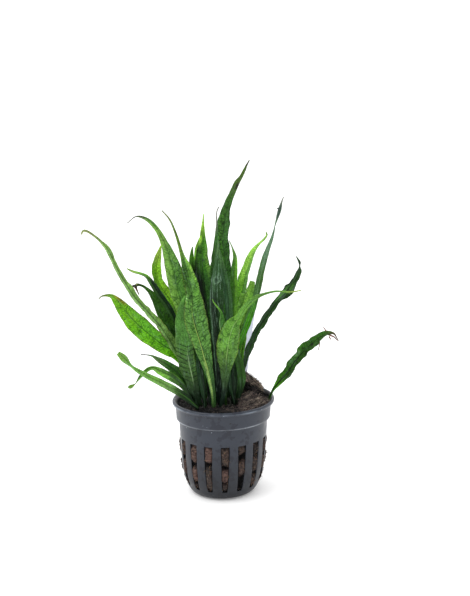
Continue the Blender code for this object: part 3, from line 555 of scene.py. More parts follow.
def wool_top(x, y):
    """Height of the wool's top in the pot and how light it is there, painted as light and shade: dark under
    the plant and at the far left, lighter at the front and to the right. It covers the front of the rhizome.
    """
    front = part_way(-y, *FRONT_RISE_FORWARD) * part_way(x, *FRONT_RISE_X)
    front *= 1.0 - 0.35 * part_way(-y, 18.0, 24.0)
    edge = part_way(math.hypot(x, y), *WALL_RISE_RADII)
    rough = clumps(x, y, 3.0, 4.0)
    fine = clumps(x, y, 9.0, 1.4)
    height = WOOL_TOP + WALL_RISE * edge + FRONT_RISE * front * (1.0 - 0.5 * edge)
    height += (1.2 - 0.3 * front) * rough + 0.6 * fine
    light = 0.03 + 0.18 * part_way(-y, 12.0, 21.0) * part_way(x, -13.0, -2.0) + 0.18 * part_way(x, 0.0, 14.0)
    return height, light + 0.3 * rough + 0.4 * fine


def paint_wool(obj, light, red, lie):
    """Keeps each point's lightness, with painted shade and light, its redness, and its place in the fibres.
    """
    paint(obj.data, "FLOAT", wool_light=np.clip(light, 0.0, 1.0), wool_red=np.clip(red, 0.0, 1.0))
    paint(obj.data, "FLOAT_VECTOR", wool_lie=lie)


def closed_tube(rings, sides):
    """Faces of a tube through its rings of points, with both ends closed."""
    faces = []
    for low in range(0, (rings - 1) * sides, sides):
        for side in range(sides):
            after = (side + 1) % sides
            faces.append((low + side, low + after, low + sides + after, low + sides + side))
    return [*faces, tuple(range(sides)), tuple(range((rings - 1) * sides, rings * sides))]


def wool_plug_mesh(material):
    points = []
    looks = []
    for row in range(WOOL_SIDE_ROWS + 1):
        height = WOOL_FOOT + (WOOL_EDGE - WOOL_FOOT) * row / WOOL_SIDE_ROWS
        wall = COLLAR_FOOT_RADIUS if height > STEP_HEIGHT else body_radius(height)
        for column in range(WOOL_COLUMNS):
            angle = 2.0 * math.pi * column / WOOL_COLUMNS
            radius = wall - WALL - WOOL_GAP
            look = (0.1, 0.3)
            if SLOT_FOOT < height < SLOT_TOP:
                slot = round((angle - SLOT_START) / SLOT_PITCH) % SLOTS
                from_slot = (angle - SLOT_START + 0.5 * SLOT_PITCH) % SLOT_PITCH - 0.5 * SLOT_PITCH
                across = abs(from_slot) / slot_half_angle(height)
                if across < 1.0:
                    swell, *look = wool_in_slot(radius * math.cos(angle), radius * math.sin(angle), height,
                                                across, slot)
                    radius += swell
            points.append((lean_at(height) + radius * math.cos(angle), radius * math.sin(angle), height))
            looks.append(look)
    side_points = len(points)
    rim = COLLAR_FOOT_RADIUS - WALL - 0.3
    for ring in range(1, WOOL_TOP_RINGS + 1):
        radius = rim * (1.0 - ring / WOOL_TOP_RINGS) + 0.05
        for column in range(WOOL_COLUMNS):
            angle = 2.0 * math.pi * column / WOOL_COLUMNS
            x = radius * math.cos(angle)
            y = radius * math.sin(angle)
            height, light = wool_top(x, y)
            points.append((x, y, height))
            looks.append((light, TOP_RED))
    faces = closed_tube(WOOL_SIDE_ROWS + WOOL_TOP_RINGS + 1, WOOL_COLUMNS)
    plug = mesh_object("wool_fill", points, faces, material)
    turn_faces_out(plug)
    lie = [(x, y, 2.6 * z) for x, y, z in points[:side_points]] + points[side_points:]
    light, red = zip(*looks)
    paint_wool(plug, light, red, lie)
    return plug


def front_shade(place):
    """Painted shade: the front lump is dark only where it ends, beside the wall of the pot."""
    return part_way(place.x, *FRONT_DARK_X)


def rear_shade(place):
    """Painted shade of a deep hollow that runs down to the right under the rear mound's ridge, behind the
    front lump.
    """
    line = HOLLOW_HEIGHT - HOLLOW_FALL * (place.x - HOLLOW_X) - HOLLOW_BACK_FALL * place.y
    below = line - place.z + HOLLOW_RAGGED * noise.noise(place / HOLLOW_RAGGED_MM)
    return part_way(below, *HOLLOW_DARKENS) * (1.0 - 0.6 * part_way(below, *HOLLOW_LIGHTENS))


def wool_lump_mesh(name, corners, light_base, redness, layer_rise, shade_at, material):
    """A torn lump: its corners' hull, softened, then roughened in layers along the way that it tore."""
    builder = bmesh.new()
    for x, y, z in corners:
        builder.verts.new((x, y, z + BASE_PLATE))
    bmesh.ops.convex_hull(builder, input=builder.verts)
    loose = [vert for vert in builder.verts if not vert.link_faces]
    bmesh.ops.delete(builder, geom=loose, context="VERTS")
    for _ in range(LUMP_ROUNDS):
        bmesh.ops.subdivide_edges(builder, edges=builder.edges, cuts=1, use_grid_fill=True)
        if len(builder.verts) < LUMP_SMOOTH_POINTS:
            bmesh.ops.smooth_vert(builder, verts=builder.verts, factor=0.15,
                                  use_axis_x=True, use_axis_y=True, use_axis_z=True)
        if len(builder.faces) > LUMP_FACES:
            break
    builder.normal_update()
    points = []
    light = []
    lie = []
    for vert in builder.verts:
        x, y, z = vert.co
        layer = z + 0.2 * y - layer_rise * x
        ridge = clumps(0.25 * x, 0.3 * y, layer, LAYER_MM)
        rough = clumps(x, y, z, ROUGH_MM)
        fine = clumps(0.4 * x, 0.5 * y, 1.8 * layer, FINE_MM)
        points.append(vert.co + vert.normal * (LUMP_SWELL + 0.6 * rough + 0.6 * ridge + 0.2 * fine))
        # Painted light and shade: lighter on the torn crests, darker where the lump is painted in shade.
        light.append(light_base + 0.3 * rough + 0.55 * ridge + 0.45 * fine - 0.75 * shade_at(vert.co))
        lie.append((0.35 * x, 0.5 * y, 1.6 * layer))
    faces = [tuple(vert.index for vert in face.verts) for face in builder.faces]
    builder.free()
    lump = mesh_object(name, points, faces, material)
    turn_faces_out(lump)
    paint_wool(lump, light, [redness] * len(light), lie)
    return lump


def set_ramp(node, stops):
    """Gives a colour ramp its stops, each a place and an sRGB code."""
    elements = node.color_ramp.elements
    while len(elements) > 1:
        elements.remove(elements[-1])
    elements[0].position = stops[0][0]
    elements[0].color = linear(stops[0][1])
    for place, code in stops[1:]:
        elements.new(place).color = linear(code)


# Wet mineral wool: matt, with reddish and tan fibres. Its colour follows a painted lightness: painted shade,
# nearly black in its cracks and hollows, and painted light on its crests and where fibres catch the light.
wool, tree = new_material("wet_mineral_wool")
place = add_node(tree, "TexCoord").outputs["Object"]
lightness = add_node(tree, "Attribute", attribute_name="wool_light").outputs["Fac"]
redness = add_node(tree, "Attribute", attribute_name="wool_red").outputs["Fac"]
lie = add_node(tree, "Attribute", attribute_name="wool_lie").outputs["Vector"]
fibre = add_node(tree, "TexNoise", {"Vector": lie, "Scale": 0.4 / WOOL_FIBRE_MM, "Detail": 4.0,
                                    "Roughness": 0.75, "Distortion": 1.2})
fibre_share = add_node(tree, "Math", {0: fibre, 1: 1.3, 2: -0.65}, operation="MULTIPLY_ADD")
mixed = add_node(tree, "Math", {0: lightness, 1: fibre_share}, operation="ADD")
tone = add_node(tree, "ValToRGB", {"Fac": mixed})
set_ramp(tone, ((0.0, "#070707"), (0.2, "#151313"), (0.4, "#342e2b"), (0.6, "#554a43"), (0.8, "#73675a"),
                (1.0, "#96887a")))
reddened = add_node(tree, "Mix", {"Factor": redness, 6: tone, 7: (1.12, 0.84, 0.86, 1.0)},
                    data_type="RGBA", blend_type="MULTIPLY")
hue_noise = add_node(tree, "TexNoise", {"Vector": place, "Scale": 1000.0 / WOOL_HUE_MM, "Detail": 2.0})
hue_share = add_node(tree, "MapRange", {"Value": hue_noise, "From Min": 0.4, "From Max": 0.62,
                                        "To Max": 0.6})
greyer = add_node(tree, "Mix", {"Factor": hue_share, 6: reddened, 7: (0.78, 0.86, 0.9, 1.0)},
                  data_type="RGBA", blend_type="MULTIPLY")
bump = add_node(tree, "Bump", {"Height": fibre, "Strength": 0.9, "Distance": 0.5 * MM})
finish_material(tree, {"Base Color": greyer, "Normal": bump, "Roughness": 0.85, "Specular IOR Level": 0.2})

wool_fill = wool_plug_mesh(wool)
front_lump = wool_lump_mesh("torn_front_lump", FRONT_LUMP, FRONT_LIGHT, FRONT_RED, FRONT_LAYER_RISE,
                            front_shade, wool)
rear_mound = wool_lump_mesh("torn_rear_mound", REAR_MOUND, REAR_LIGHT, REAR_RED, REAR_LAYER_RISE,
                            rear_shade, wool)
for piece, node_name in ((wool_fill, "wool_plug"), (front_lump, "front_wool_lump"),
                         (rear_mound, "rear_wool_mound")):
    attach(piece, "root")
    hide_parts(node_name)

# Wool fibres.
# Loose mineral fibres and dead rootlets that stand off the torn wool, on top and in the slots. They are
# tangled into it, and drawn about twice as thick as real ones so that they show.

FIBRE_SIDES = 3
FIBRE_STEPS = 6
FIBRE_RADIUS = 0.1
FIBRE_TAPER = 0.75
# Shares of the usual length, thickness and lightness that threads are spread over
FIBRE_LENGTHS = (0.4, 1.4)
FIBRE_THICKNESSES = (0.6, 1.3)
FIBRE_TONES = (0.7, 1.25)
TOP_FIBRE_LENGTH = 2.4
SLOT_FIBRE_LENGTH = 1.8
FRONT_FIBRE_LIE = (1.0, 0.3, 0.42)
REAR_FIBRE_LIE = (1.0, 0.0, -0.8)
GRIME_MM = 1.2
# The plain top of the wool ends this far from the middle of the pot. Left of the line its threads are
# painted dark, as shade.
OPEN_TOP_RADIUS = 23.5
DARK_SIDE_X = -4.0
# Threads stand on each surface from these heights up
TOP_THREADS_FOOT = 44.5
FRONT_THREADS_FOOT = 48.5
REAR_THREADS_FOOT = 49.5
# How far threads stand off: where the wool is plain, on the torn lumps, in the slots, and the wildest ones
PLAIN_SPREAD = 0.5
TORN_SPREAD = 0.3
SLOT_SPREAD = 0.25
WILD_SPREAD = 1.6
TOP_THREADS = ("#38312f", "#5c524d", "#7c6e68", "#a69888", "#1b1919", "#2c2828", "#6c5652")
# Darker copies of the threads' colours, for threads in painted shade.
DARK_THREADS = ("#212022", "#2c2a2d", "#131315", "#3d3a3c")
SLOT_THREADS = ("#4a362c", "#6b4c3f", "#7d6048", "#8f7350", "#3a2a24", "#5d3d33")


def strands(name, seeds, length, radius, bend, colours, material):
    """Thin bent threads, each from a place and along a direction in millimetres, with its own colour."""
    dice = np.random.default_rng(len(seeds))
    points = []
    tones = []
    faces = []
    palette = [np.array(linear(code)[:3]) for code in colours]
    for start, heading in seeds:
        heading = np.array(heading, float)
        heading /= np.linalg.norm(heading)
        side = np.cross(heading, dice.normal(size=3))
        side /= np.linalg.norm(side)
        other = np.cross(heading, side)
        reach = length * dice.uniform(*FIBRE_LENGTHS)
        thick = radius * dice.uniform(*FIBRE_THICKNESSES)
        tone = palette[dice.integers(len(palette))] * dice.uniform(*FIBRE_TONES)
        base = len(points)
        for step in range(FIBRE_STEPS):
            share = step / (FIBRE_STEPS - 1)
            middle = (np.array(start) + heading * reach * share
                      + side * bend * reach * math.sin(2.6 * share)
                      + other * bend * 0.6 * reach * share * share)
            width = thick * (1.0 - FIBRE_TAPER * share)
            for corner in range(FIBRE_SIDES):
                angle = 2.0 * math.pi * corner / FIBRE_SIDES
                points.append(middle + width * (side * math.cos(angle) + other * math.sin(angle)))
                tones.append((*tone, 1.0))
        *sides, foot, top = closed_tube(FIBRE_STEPS, FIBRE_SIDES)
        faces += [tuple(base + point for point in face) for face in (*sides, foot[::-1], top)]
    piece = mesh_object(name, points, faces, material)
    paint(piece.data, "FLOAT_COLOR", strand_tone=tones)
    return piece


# Mineral fibre and dead root: dull, each thread a little lighter or darker than the next.
fibre_stuff, tree = new_material("mineral_fibre")
place = add_node(tree, "TexCoord").outputs["Object"]
own_tone = add_node(tree, "Attribute", attribute_name="strand_tone").outputs["Color"]
grime = add_node(tree, "TexNoise", {"Vector": place, "Scale": 1000.0 / GRIME_MM, "Detail": 2.0})
grime_shade = add_node(tree, "MapRange", {"Value": grime, "To Min": 0.55, "To Max": 1.25})
dirty = add_node(tree, "Mix", {"Factor": 1.0, 6: own_tone, 7: grime_shade}, data_type="RGBA",
                 blend_type="MULTIPLY")
finish_material(tree, {"Base Color": dirty, "Roughness": 0.75})


def surface_seeds(obj, count, spread, dice, keep, lie=None):
    """Places on an object's faces that keep() allows, with directions along the face, most near lie."""
    mesh = obj.data
    middles = np.empty(len(mesh.polygons) * 3)
    normals = np.empty(len(mesh.polygons) * 3)
    mesh.polygons.foreach_get("center", middles)
    mesh.polygons.foreach_get("normal", normals)
    middles = middles.reshape(-1, 3) / MM
    normals = normals.reshape(-1, 3)
    allowed = np.array([index for index, middle in enumerate(middles) if keep(middle)])
    found = []
    for pick in dice.choice(allowed, count):
        normal = normals[pick]
        flat = np.cross(normal, dice.normal(size=3))
        flat /= np.linalg.norm(flat)
        if lie is not None:
            flat = 0.45 * flat + np.array(lie) * (1.0 if dice.uniform() < 0.5 else -1.0)
        found.append((middles[pick] - normal * 0.1, flat + normal * dice.uniform(0.0, spread)))
    return found


def on_open_top(middle):
    return middle[2] > TOP_THREADS_FOOT and math.hypot(middle[0], middle[1]) < OPEN_TOP_RADIUS


def on_ridge(middle):
    return middle[2] > REAR_THREADS_FOOT and rear_shade(Vector(middle)) < 0.5


def in_slots(middle):
    outside = math.hypot(middle[0] - lean_at(middle[2]), middle[1]) > body_radius(middle[2]) - WALL + 0.1
    return SLOT_FOOT + 1.0 < middle[2] < SLOT_TOP - 1.0 and outside


fibre_dice = np.random.default_rng(7)
top_seeds = surface_seeds(wool_fill, 700, PLAIN_SPREAD, fibre_dice,
                          lambda middle: on_open_top(middle) and middle[0] > DARK_SIDE_X)
top_seeds += surface_seeds(front_lump, 1500, TORN_SPREAD, fibre_dice,
                           lambda middle: middle[2] > FRONT_THREADS_FOOT, FRONT_FIBRE_LIE)
top_seeds += surface_seeds(rear_mound, 900, TORN_SPREAD, fibre_dice, on_ridge, REAR_FIBRE_LIE)
# Threads at the left of the top and off the rear mound's ridge lie in painted shade and get the darker
# colours.
dark_seeds = surface_seeds(wool_fill, 600, PLAIN_SPREAD, fibre_dice,
                           lambda middle: on_open_top(middle) and middle[0] < DARK_SIDE_X)
dark_seeds += surface_seeds(rear_mound, 300, TORN_SPREAD, fibre_dice, lambda middle: not on_ridge(middle),
                            REAR_FIBRE_LIE)
slot_seeds = surface_seeds(wool_fill, 1300, SLOT_SPREAD, fibre_dice, in_slots)
slot_seeds += surface_seeds(wool_fill, 150, WILD_SPREAD, fibre_dice, in_slots)
for fibres_name, seeds, length, bend, threads in (
        ("loose_top_fibres", top_seeds, TOP_FIBRE_LENGTH, 0.25, TOP_THREADS),
        ("loose_dark_fibres", dark_seeds, TOP_FIBRE_LENGTH, 0.25, DARK_THREADS),
        ("loose_slot_fibres", slot_seeds, SLOT_FIBRE_LENGTH, 0.22, SLOT_THREADS)):
    fibres = strands(fibres_name, seeds, length, FIBRE_RADIUS, bend, threads, fibre_stuff)
    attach(fibres, "root")

# Plant label.
# A blank strip cut from pale lilac-white plastic sheet, pushed into the wool behind the plant. Its solid
# has the right shape, so it only gets its finish: smooth, with a little dirt where it enters the wool.

LABEL_STAIN_FOOT = 49.5
LABEL_STAIN_TOP = 58.0
LABEL_DIRT_MM = 5.6
LABEL_RUB_MM = 1.1

# Extruded polypropylene sheet: smooth and slightly see-through, so it looks soft rather than glossy.
label_plastic, tree = new_material("extruded_polypropylene_sheet")
place = add_node(tree, "TexCoord").outputs["Object"]
split = add_node(tree, "SeparateXYZ", {"Vector": place})
dirt = add_node(tree, "MapRange", {"Value": split.outputs["Z"], "From Min": LABEL_STAIN_TOP * MM,
                                   "From Max": LABEL_STAIN_FOOT * MM})
cloud = add_node(tree, "TexNoise", {"Vector": place, "Scale": 1000.0 / LABEL_DIRT_MM, "Detail": 5.0})
dirty_share = add_node(tree, "Math", {0: dirt, 1: cloud}, operation="MULTIPLY")
sheet = add_node(tree, "Mix", {"Factor": dirty_share, 6: "#d4d6f0", 7: "#5c5048"}, data_type="RGBA")
rub = add_node(tree, "TexNoise", {"Vector": place, "Scale": 1000.0 / LABEL_RUB_MM, "Detail": 3.0})
rub_bump = add_node(tree, "Bump", {"Height": rub, "Strength": 0.15, "Distance": 0.05 * MM})
finish_material(tree, {"Base Color": sheet, "Normal": rub_bump, "Roughness": 0.4, "Subsurface Weight": 0.6,
                       "Subsurface Scale": 3.0 * MM, "Subsurface Radius": (1.0, 1.0, 1.0)})
bpy.data.objects["plant_label"].material_slots[0].material = label_plastic

# Rhizome.
# The creeping stem that carries the leaves: dark green-brown, knobbly, with short rootlets that grip the
# wool. It lies half sunk in the wool under the leaf stalks.

RHIZOME_THICKNESS = 4.6
RHIZOME_SIDES = 20
RHIZOME_KNOBS = 0.35
STUB_SIDES = 10
STUB_KNOBS = 0.05
SCALE_MM = 1.3
ROOTLET_LENGTH = 3.2
ROOTLET_RADIUS = 0.11
ROOTLET_SPREAD = 1.2
ROOTLETS_ON_STEM = 90
# Rootlets grow below this height.
ROOTLET_TOP = 50.5
ROOTLET_THREADS = ("#2a1c14", "#3b2a1c", "#1c130e")
# Heights of the stems and the stub are from the top of the base plate
RHIZOME_STEMS = (
    ((-15.0, -11.0, 46.9), (-6.0, -12.0, 47.1), (6.5, -9.5, 46.9)),
    ((-12.5, 2.5, 46.9), (-3.0, 4.0, 47.1), (7.5, 3.0, 46.9)),
    ((-3.0, -11.5, 46.9), (-3.8, -4.0, 46.7), (-3.0, 4.0, 46.9)),
)
STEM_STUB = ((3.8, -12.6, 49.0, 1.1), (3.2, -12.4, 52.2, 1.0), (2.2, -12.8, 53.8, 0.8))


def stem_mesh(name, rows, sides, knobs, material):
    """A round, knobbly stem along a spine of x, y, z and thickness, closed at both ends."""
    knots = knot_places(rows)
    samples = curve_through(rows, np.linspace(0.0, knots[-1], 8 * len(rows) + 8))
    samples[:, 2] += BASE_PLATE
    points = []
    for index, sample in enumerate(samples):
        before = samples[max(index - 1, 0)][:3]
        after = samples[min(index + 1, len(samples) - 1)][:3]
        forward = Vector(after - before).normalized()
        first = forward.orthogonal().normalized()
        second = forward.cross(first)
        share = index / (len(samples) - 1)
        taper = math.sqrt(max(1.0 - (2.0 * abs(share - 0.5)) ** 10, 0.02))
        for side in range(sides):
            angle = 2.0 * math.pi * side / sides
            offset = first * math.cos(angle) + second * math.sin(angle)
            spot = Vector(sample[:3]) + offset * 0.5 * sample[3] * taper
            spot += offset * knobs * clumps(*spot, 2.2)
            points.append(spot[:])
    stem = mesh_object(name, points, closed_tube(len(samples), sides), material)
    turn_faces_out(stem)
    return stem


# Living rhizome skin: dull brown-green with darker scales, faintly damp.
rhizome_skin, tree = new_material("rhizome_skin")
place = add_node(tree, "TexCoord").outputs["Object"]
scales = add_node(tree, "TexVoronoi", {"Vector": place, "Scale": 1000.0 / SCALE_MM})
skin_tone = add_node(tree, "ValToRGB", {"Fac": scales})
set_ramp(skin_tone, ((0.1, "#1d2414"), (0.45, "#161b10"), (0.8, "#0d0e09")))
scale_bump = add_node(tree, "Bump", {"Height": scales, "Strength": 0.6, "Distance": 0.3 * MM})
finish_material(tree, {"Base Color": skin_tone, "Normal": scale_bump, "Roughness": 0.6})

rhizome_parts = []
for number, spine in enumerate(RHIZOME_STEMS):
    spine_rows = [(*point, RHIZOME_THICKNESS) for point in spine]
    rhizome_parts.append(stem_mesh(f"rhizome_stem_{number}", spine_rows, RHIZOME_SIDES, RHIZOME_KNOBS,
                                   rhizome_skin))
root_dice = np.random.default_rng(11)
root_seeds = []
for part in rhizome_parts:
    root_seeds += surface_seeds(part, ROOTLETS_ON_STEM, ROOTLET_SPREAD, root_dice,
                                lambda middle: middle[2] < ROOTLET_TOP)
rootlets = strands("rhizome_rootlets", root_seeds, ROOTLET_LENGTH, ROOTLET_RADIUS, 0.3, ROOTLET_THREADS,
                   fibre_stuff)
bare_stub = stem_mesh("bare_stub", STEM_STUB, STUB_SIDES, STUB_KNOBS, rhizome_skin)
for piece in (*rhizome_parts, rootlets, bare_stub):
    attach(piece, "root")
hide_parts("rhizome")
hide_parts("stem_stub")

# Front leaves.
# Long simple fern fronds, each grown in one piece: a thin stalk that widens to a leathery blade with a
# sunken midrib, a net of veins and wavy edges. They grow from the front of the rhizome towards the viewer.

BLADE_STEP = 0.8
BLADE_LEAST_ROWS = 24
BLADE_QUADS = 16
BLADE_LEAST_BREADTH = 0.25
# A leaf is all stalk where it is narrower than the first breadth, and all blade past the second.
BLADE_BREADTHS = (2.5, 6.0)
BLADE_FACING = np.array((0.0, -1.0, 0.35))
BLADE_THICKNESS = 0.38
STALK_LENGTH = 16.0
STALK_THICKNESS = 1.15
# The edges narrow and widen, ripple and pucker over these lengths
EDGE_LONG_MM = 7.0
EDGE_SHORT_MM = 2.6
RIPPLE_MM = (9.0, 13.0)
PUCKER_ALONG_MM = 1.9
PUCKER_ACROSS_MM = 1.5
PUCKER_RISE = 0.24
# Where the midrib moves from the middle to its place, and the breadths over which its groove deepens
RIB_SETTLES_MM = (4.0, 20.0)
RIB_BREADTHS = (1.5, 4.0)
RIB_GROOVE_HALF = 0.45
RIB_GROOVE_DEPTH = 0.28
# The share of that depth on the upper side: the midrib stands out more below
RIB_TOP_SHARE = 0.45
# Half the width of the midrib's stripe, what its foot adds to that, and where it thins
RIB_STRIPE_HALF = 0.08
RIB_STRIPE_FOOT = 0.24
RIB_STRIPE_THINS_MM = (8.0, 45.0)
# Shares of a leaf's length over which its root's colour ends, its edges' begins and its tip's begins
# A dark root colour is painted shade at the foot of the inner leaves.
ROOT_COLOUR_ENDS = (0.1, 0.38)
EDGE_COLOUR_STARTS = (0.2, 0.42)
TIP_COLOUR_STARTS = (0.84, 0.96)
# The edges' colour: how strong it is, and how far out from the middle it begins and is full
EDGE_COLOUR_STRENGTH = 0.75
EDGE_COLOUR_BAND = (0.84, 1.0)
# A mark is full up to the first share of its size, and has faded by the second.
MARK_FADES = (0.5, 1.3)
# The underside is a little paler.
UNDERSIDE_TIMES = 1.1
UNDERSIDE_ADDS = 0.01
# The net's cells are drawn a little coarser than life, so that they show at this distance.
NET_CELL_ACROSS_MM = 3.4
NET_CELL_ALONG_MM = 2.2
NET_SLANT = 0.55
MOTTLE_MM = 5.0
SORI_MM = 5.0
# The other patterns' cells to a millimetre. The warp moves the net and the scratches by up to its reach.
WARP_CELLS_PER_MM = 0.45
WARP_REACH = (1.6, 1.6, 0.0)
FADE_CELLS_PER_MM = 0.3
FLESH_CELLS_PER_MM = 1.3
SCRATCH_CELLS_PER_MM = (1.5, 0.12, 1.0)
# The pattern of the next leaf, and of the other side of a leaf, is cut from the noise this far away
NEXT_LEAF = 11.0
OTHER_SIDE = 5.0

# Fern cuticle: waxy, so it has a soft sheen on a matt green. The veins are sunk in darker lines and the
# flesh between them is raised and lighter. Brown dots are spore heaps and small wounds. The green it
# starts from is painted per point, with painted light and shade in it.
cuticle, tree = new_material("fern_cuticle")
own_tone = add_node(tree, "Attribute", attribute_name="blade_tone").outputs["Color"]
rib_paint = add_node(tree, "Attribute", attribute_name="blade_rib")
spot = add_node(tree, "Attribute", attribute_name="blade_place").outputs["Vector"]
trait_layer = add_node(tree, "Attribute", attribute_name="blade_traits").outputs["Vector"]
vein_depth, ladder_share, rib_half_width = add_node(tree, "SeparateXYZ", {"Vector": trait_layer}).outputs
net_fineness = add_node(tree, "Attribute", attribute_name="blade_net_fineness").outputs["Fac"]
bar_step = add_node(tree, "Attribute", attribute_name="blade_bar_step").outputs["Fac"]
scratchiness = add_node(tree, "Attribute", attribute_name="blade_scratches").outputs["Fac"]
warp = add_node(tree, "TexNoise", {"Vector": spot, "Scale": WARP_CELLS_PER_MM, "Detail": 3.0,
                                   "Roughness": 0.6})
warp_move = add_node(tree, "VectorMath", {0: warp.outputs["Color"], 1: WARP_REACH}, operation="MULTIPLY")
warped = add_node(tree, "VectorMath", {0: spot, 1: warp_move}, operation="ADD")
axes = add_node(tree, "SeparateXYZ", {"Vector": spot})
from_rib = add_node(tree, "Math", {0: axes.outputs["X"]}, operation="ABSOLUTE")
warped_axes = add_node(tree, "SeparateXYZ", {"Vector": warped})
slanted = add_node(tree, "Math", {0: from_rib, 1: -NET_SLANT, 2: warped_axes.outputs["Y"]},
                   operation="MULTIPLY_ADD")
# Veins: a net of cells, and side veins as bars across the blade. Both fade in and out.
net_place = add_node(tree, "CombineXYZ", {"X": warped_axes.outputs["X"], "Y": slanted,
                                          "Z": axes.outputs["Z"]})
net_lie = add_node(tree, "Mapping", {"Vector": net_place,
                                     "Scale": (1.0 / NET_CELL_ACROSS_MM, 1.0 / NET_CELL_ALONG_MM, 1.0)})
net_sized = add_node(tree, "VectorMath", {0: net_lie, "Scale": net_fineness}, operation="SCALE")
net = add_node(tree, "TexVoronoi", {"Vector": net_sized, "Scale": 1.0}, feature="DISTANCE_TO_EDGE")
net_line = add_node(tree, "MapRange", {"Value": net, "From Max": 0.13, "To Min": 1.0, "To Max": 0.0},
                    interpolation_type="SMOOTHSTEP")
fading = add_node(tree, "TexNoise", {"Vector": spot, "Scale": FADE_CELLS_PER_MM, "Detail": 2.0})
fade = add_node(tree, "MapRange", {"Value": fading, "From Min": 0.35, "From Max": 0.6, "To Min": 0.3})
net_faded = add_node(tree, "Math", {0: net_line, 1: fade}, operation="MULTIPLY")
net_share = add_node(tree, "Math", {0: net_faded, 1: vein_depth}, operation="MULTIPLY")
half_step = add_node(tree, "Math", {0: bar_step, 1: 0.5}, operation="MULTIPLY")
bar_off = add_node(tree, "Math", {0: slanted, 1: half_step}, operation="PINGPONG")
bar_line = add_node(tree, "MapRange", {"Value": bar_off, "From Min": 0.08, "From Max": 0.34, "To Min": 1.0,
                                       "To Max": 0.0}, interpolation_type="SMOOTHSTEP")
bar_faded = add_node(tree, "Math", {0: bar_line, 1: fade}, operation="MULTIPLY")
bar_share = add_node(tree, "Math", {0: bar_faded, 1: ladder_share}, operation="MULTIPLY")
vein_share = add_node(tree, "Math", {0: net_share, 1: bar_share}, operation="MAXIMUM")
# Flesh: the leaf's own colours, mottled and grainy
mottle = add_node(tree, "TexNoise", {"Vector": spot, "Scale": 1.0 / MOTTLE_MM, "Detail": 5.0,
                                     "Roughness": 0.65})
mottle_shade = add_node(tree, "MapRange", {"Value": mottle, "From Min": 0.3, "From Max": 0.7, "To Min": 0.68,
                                           "To Max": 1.3})
mottled = add_node(tree, "Mix", {"Factor": 1.0, 6: own_tone, 7: mottle_shade}, data_type="RGBA",
                   blend_type="MULTIPLY")
flesh_grain = add_node(tree, "TexNoise", {"Vector": spot, "Scale": FLESH_CELLS_PER_MM, "Detail": 4.0,
                                          "Roughness": 0.75})
flesh_shade = add_node(tree, "MapRange", {"Value": flesh_grain, "From Min": 0.36, "From Max": 0.64,
                                          "To Min": 0.6, "To Max": 1.42})
flesh = add_node(tree, "Mix", {"Factor": 1.0, 6: mottled, 7: flesh_shade}, data_type="RGBA",
                 blend_type="MULTIPLY")
vein_tone = add_node(tree, "Mix", {"Factor": 1.0, 6: flesh, 7: (0.16, 0.24, 0.16, 1.0)}, data_type="RGBA",
                     blend_type="MULTIPLY")
veined = add_node(tree, "Mix", {"Factor": vein_share, 6: flesh, 7: vein_tone}, data_type="RGBA")
# The midrib is a paler or darker stripe, with a painted shadow of its groove as a dark line along one side
# of it.
past_rib = add_node(tree, "Math", {0: from_rib, 1: rib_half_width}, operation="SUBTRACT")
rib_stripe = add_node(tree, "MapRange", {"Value": past_rib, "From Max": 0.14, "To Min": 1.0, "To Max": 0.0},
                      interpolation_type="SMOOTHSTEP")
rib_share = add_node(tree, "Math", {0: rib_stripe, 1: rib_paint.outputs["Alpha"]}, operation="MULTIPLY")
groove_middle = add_node(tree, "Math", {0: rib_half_width, 1: 0.22}, operation="ADD")
from_groove = add_node(tree, "Math", {0: axes.outputs["X"], 1: groove_middle}, operation="SUBTRACT")
groove_off = add_node(tree, "Math", {0: from_groove}, operation="ABSOLUTE")
groove_share = add_node(tree, "MapRange", {"Value": groove_off, "From Min": 0.05, "From Max": 0.24,
                                           "To Min": 0.6, "To Max": 0.0}, interpolation_type="SMOOTHSTEP")
grooved = add_node(tree, "Mix", {"Factor": groove_share, 6: veined, 7: vein_tone}, data_type="RGBA")
ribbed = add_node(tree, "Mix", {"Factor": rib_share, 6: grooved, 7: rib_paint.outputs["Color"]},
                  data_type="RGBA")
# Pale scratches along the blade, then dark dots
scratch_lie = add_node(tree, "Mapping", {"Vector": warped, "Scale": SCRATCH_CELLS_PER_MM})
scratches = add_node(tree, "TexNoise", {"Vector": scratch_lie, "Scale": 1.0, "Detail": 2.0})
scratch_line = add_node(tree, "MapRange", {"Value": scratches, "From Min": 0.56, "From Max": 0.66})
scratch_share = add_node(tree, "Math", {0: scratch_line, 1: scratchiness}, operation="MULTIPLY")
scratched = add_node(tree, "Mix", {"Factor": scratch_share, 6: ribbed, 7: "#7c9c84"}, data_type="RGBA")
dots = add_node(tree, "TexVoronoi", {"Vector": spot, "Scale": 1.0 / SORI_MM})
dot_pick = add_node(tree, "SeparateColor", {"Color": dots.outputs["Color"]})
dot_chosen = add_node(tree, "Math", {0: dot_pick.outputs[0], 1: 0.88}, operation="GREATER_THAN")
dot_round = add_node(tree, "MapRange", {"Value": dots, "From Min": 0.05, "From Max": 0.09, "To Min": 0.85,
                                        "To Max": 0.0})
dot_mask = add_node(tree, "Math", {0: dot_chosen, 1: dot_round}, operation="MULTIPLY")
dotted = add_node(tree, "Mix", {"Factor": dot_mask, 6: scratched, 7: "#12140a"}, data_type="RGBA")
sheen_patch = add_node(tree, "MapRange", {"Value": mottle, "To Min": 0.34, "To Max": 0.56})
sunk = add_node(tree, "Math", {0: vein_share, 1: -1.0}, operation="MULTIPLY")
relief = add_node(tree, "Math", {0: flesh_grain, 1: 0.6, 2: sunk}, operation="MULTIPLY_ADD")
vein_bump = add_node(tree, "Bump", {"Height": relief, "Strength": 0.6, "Distance": 0.3 * MM})
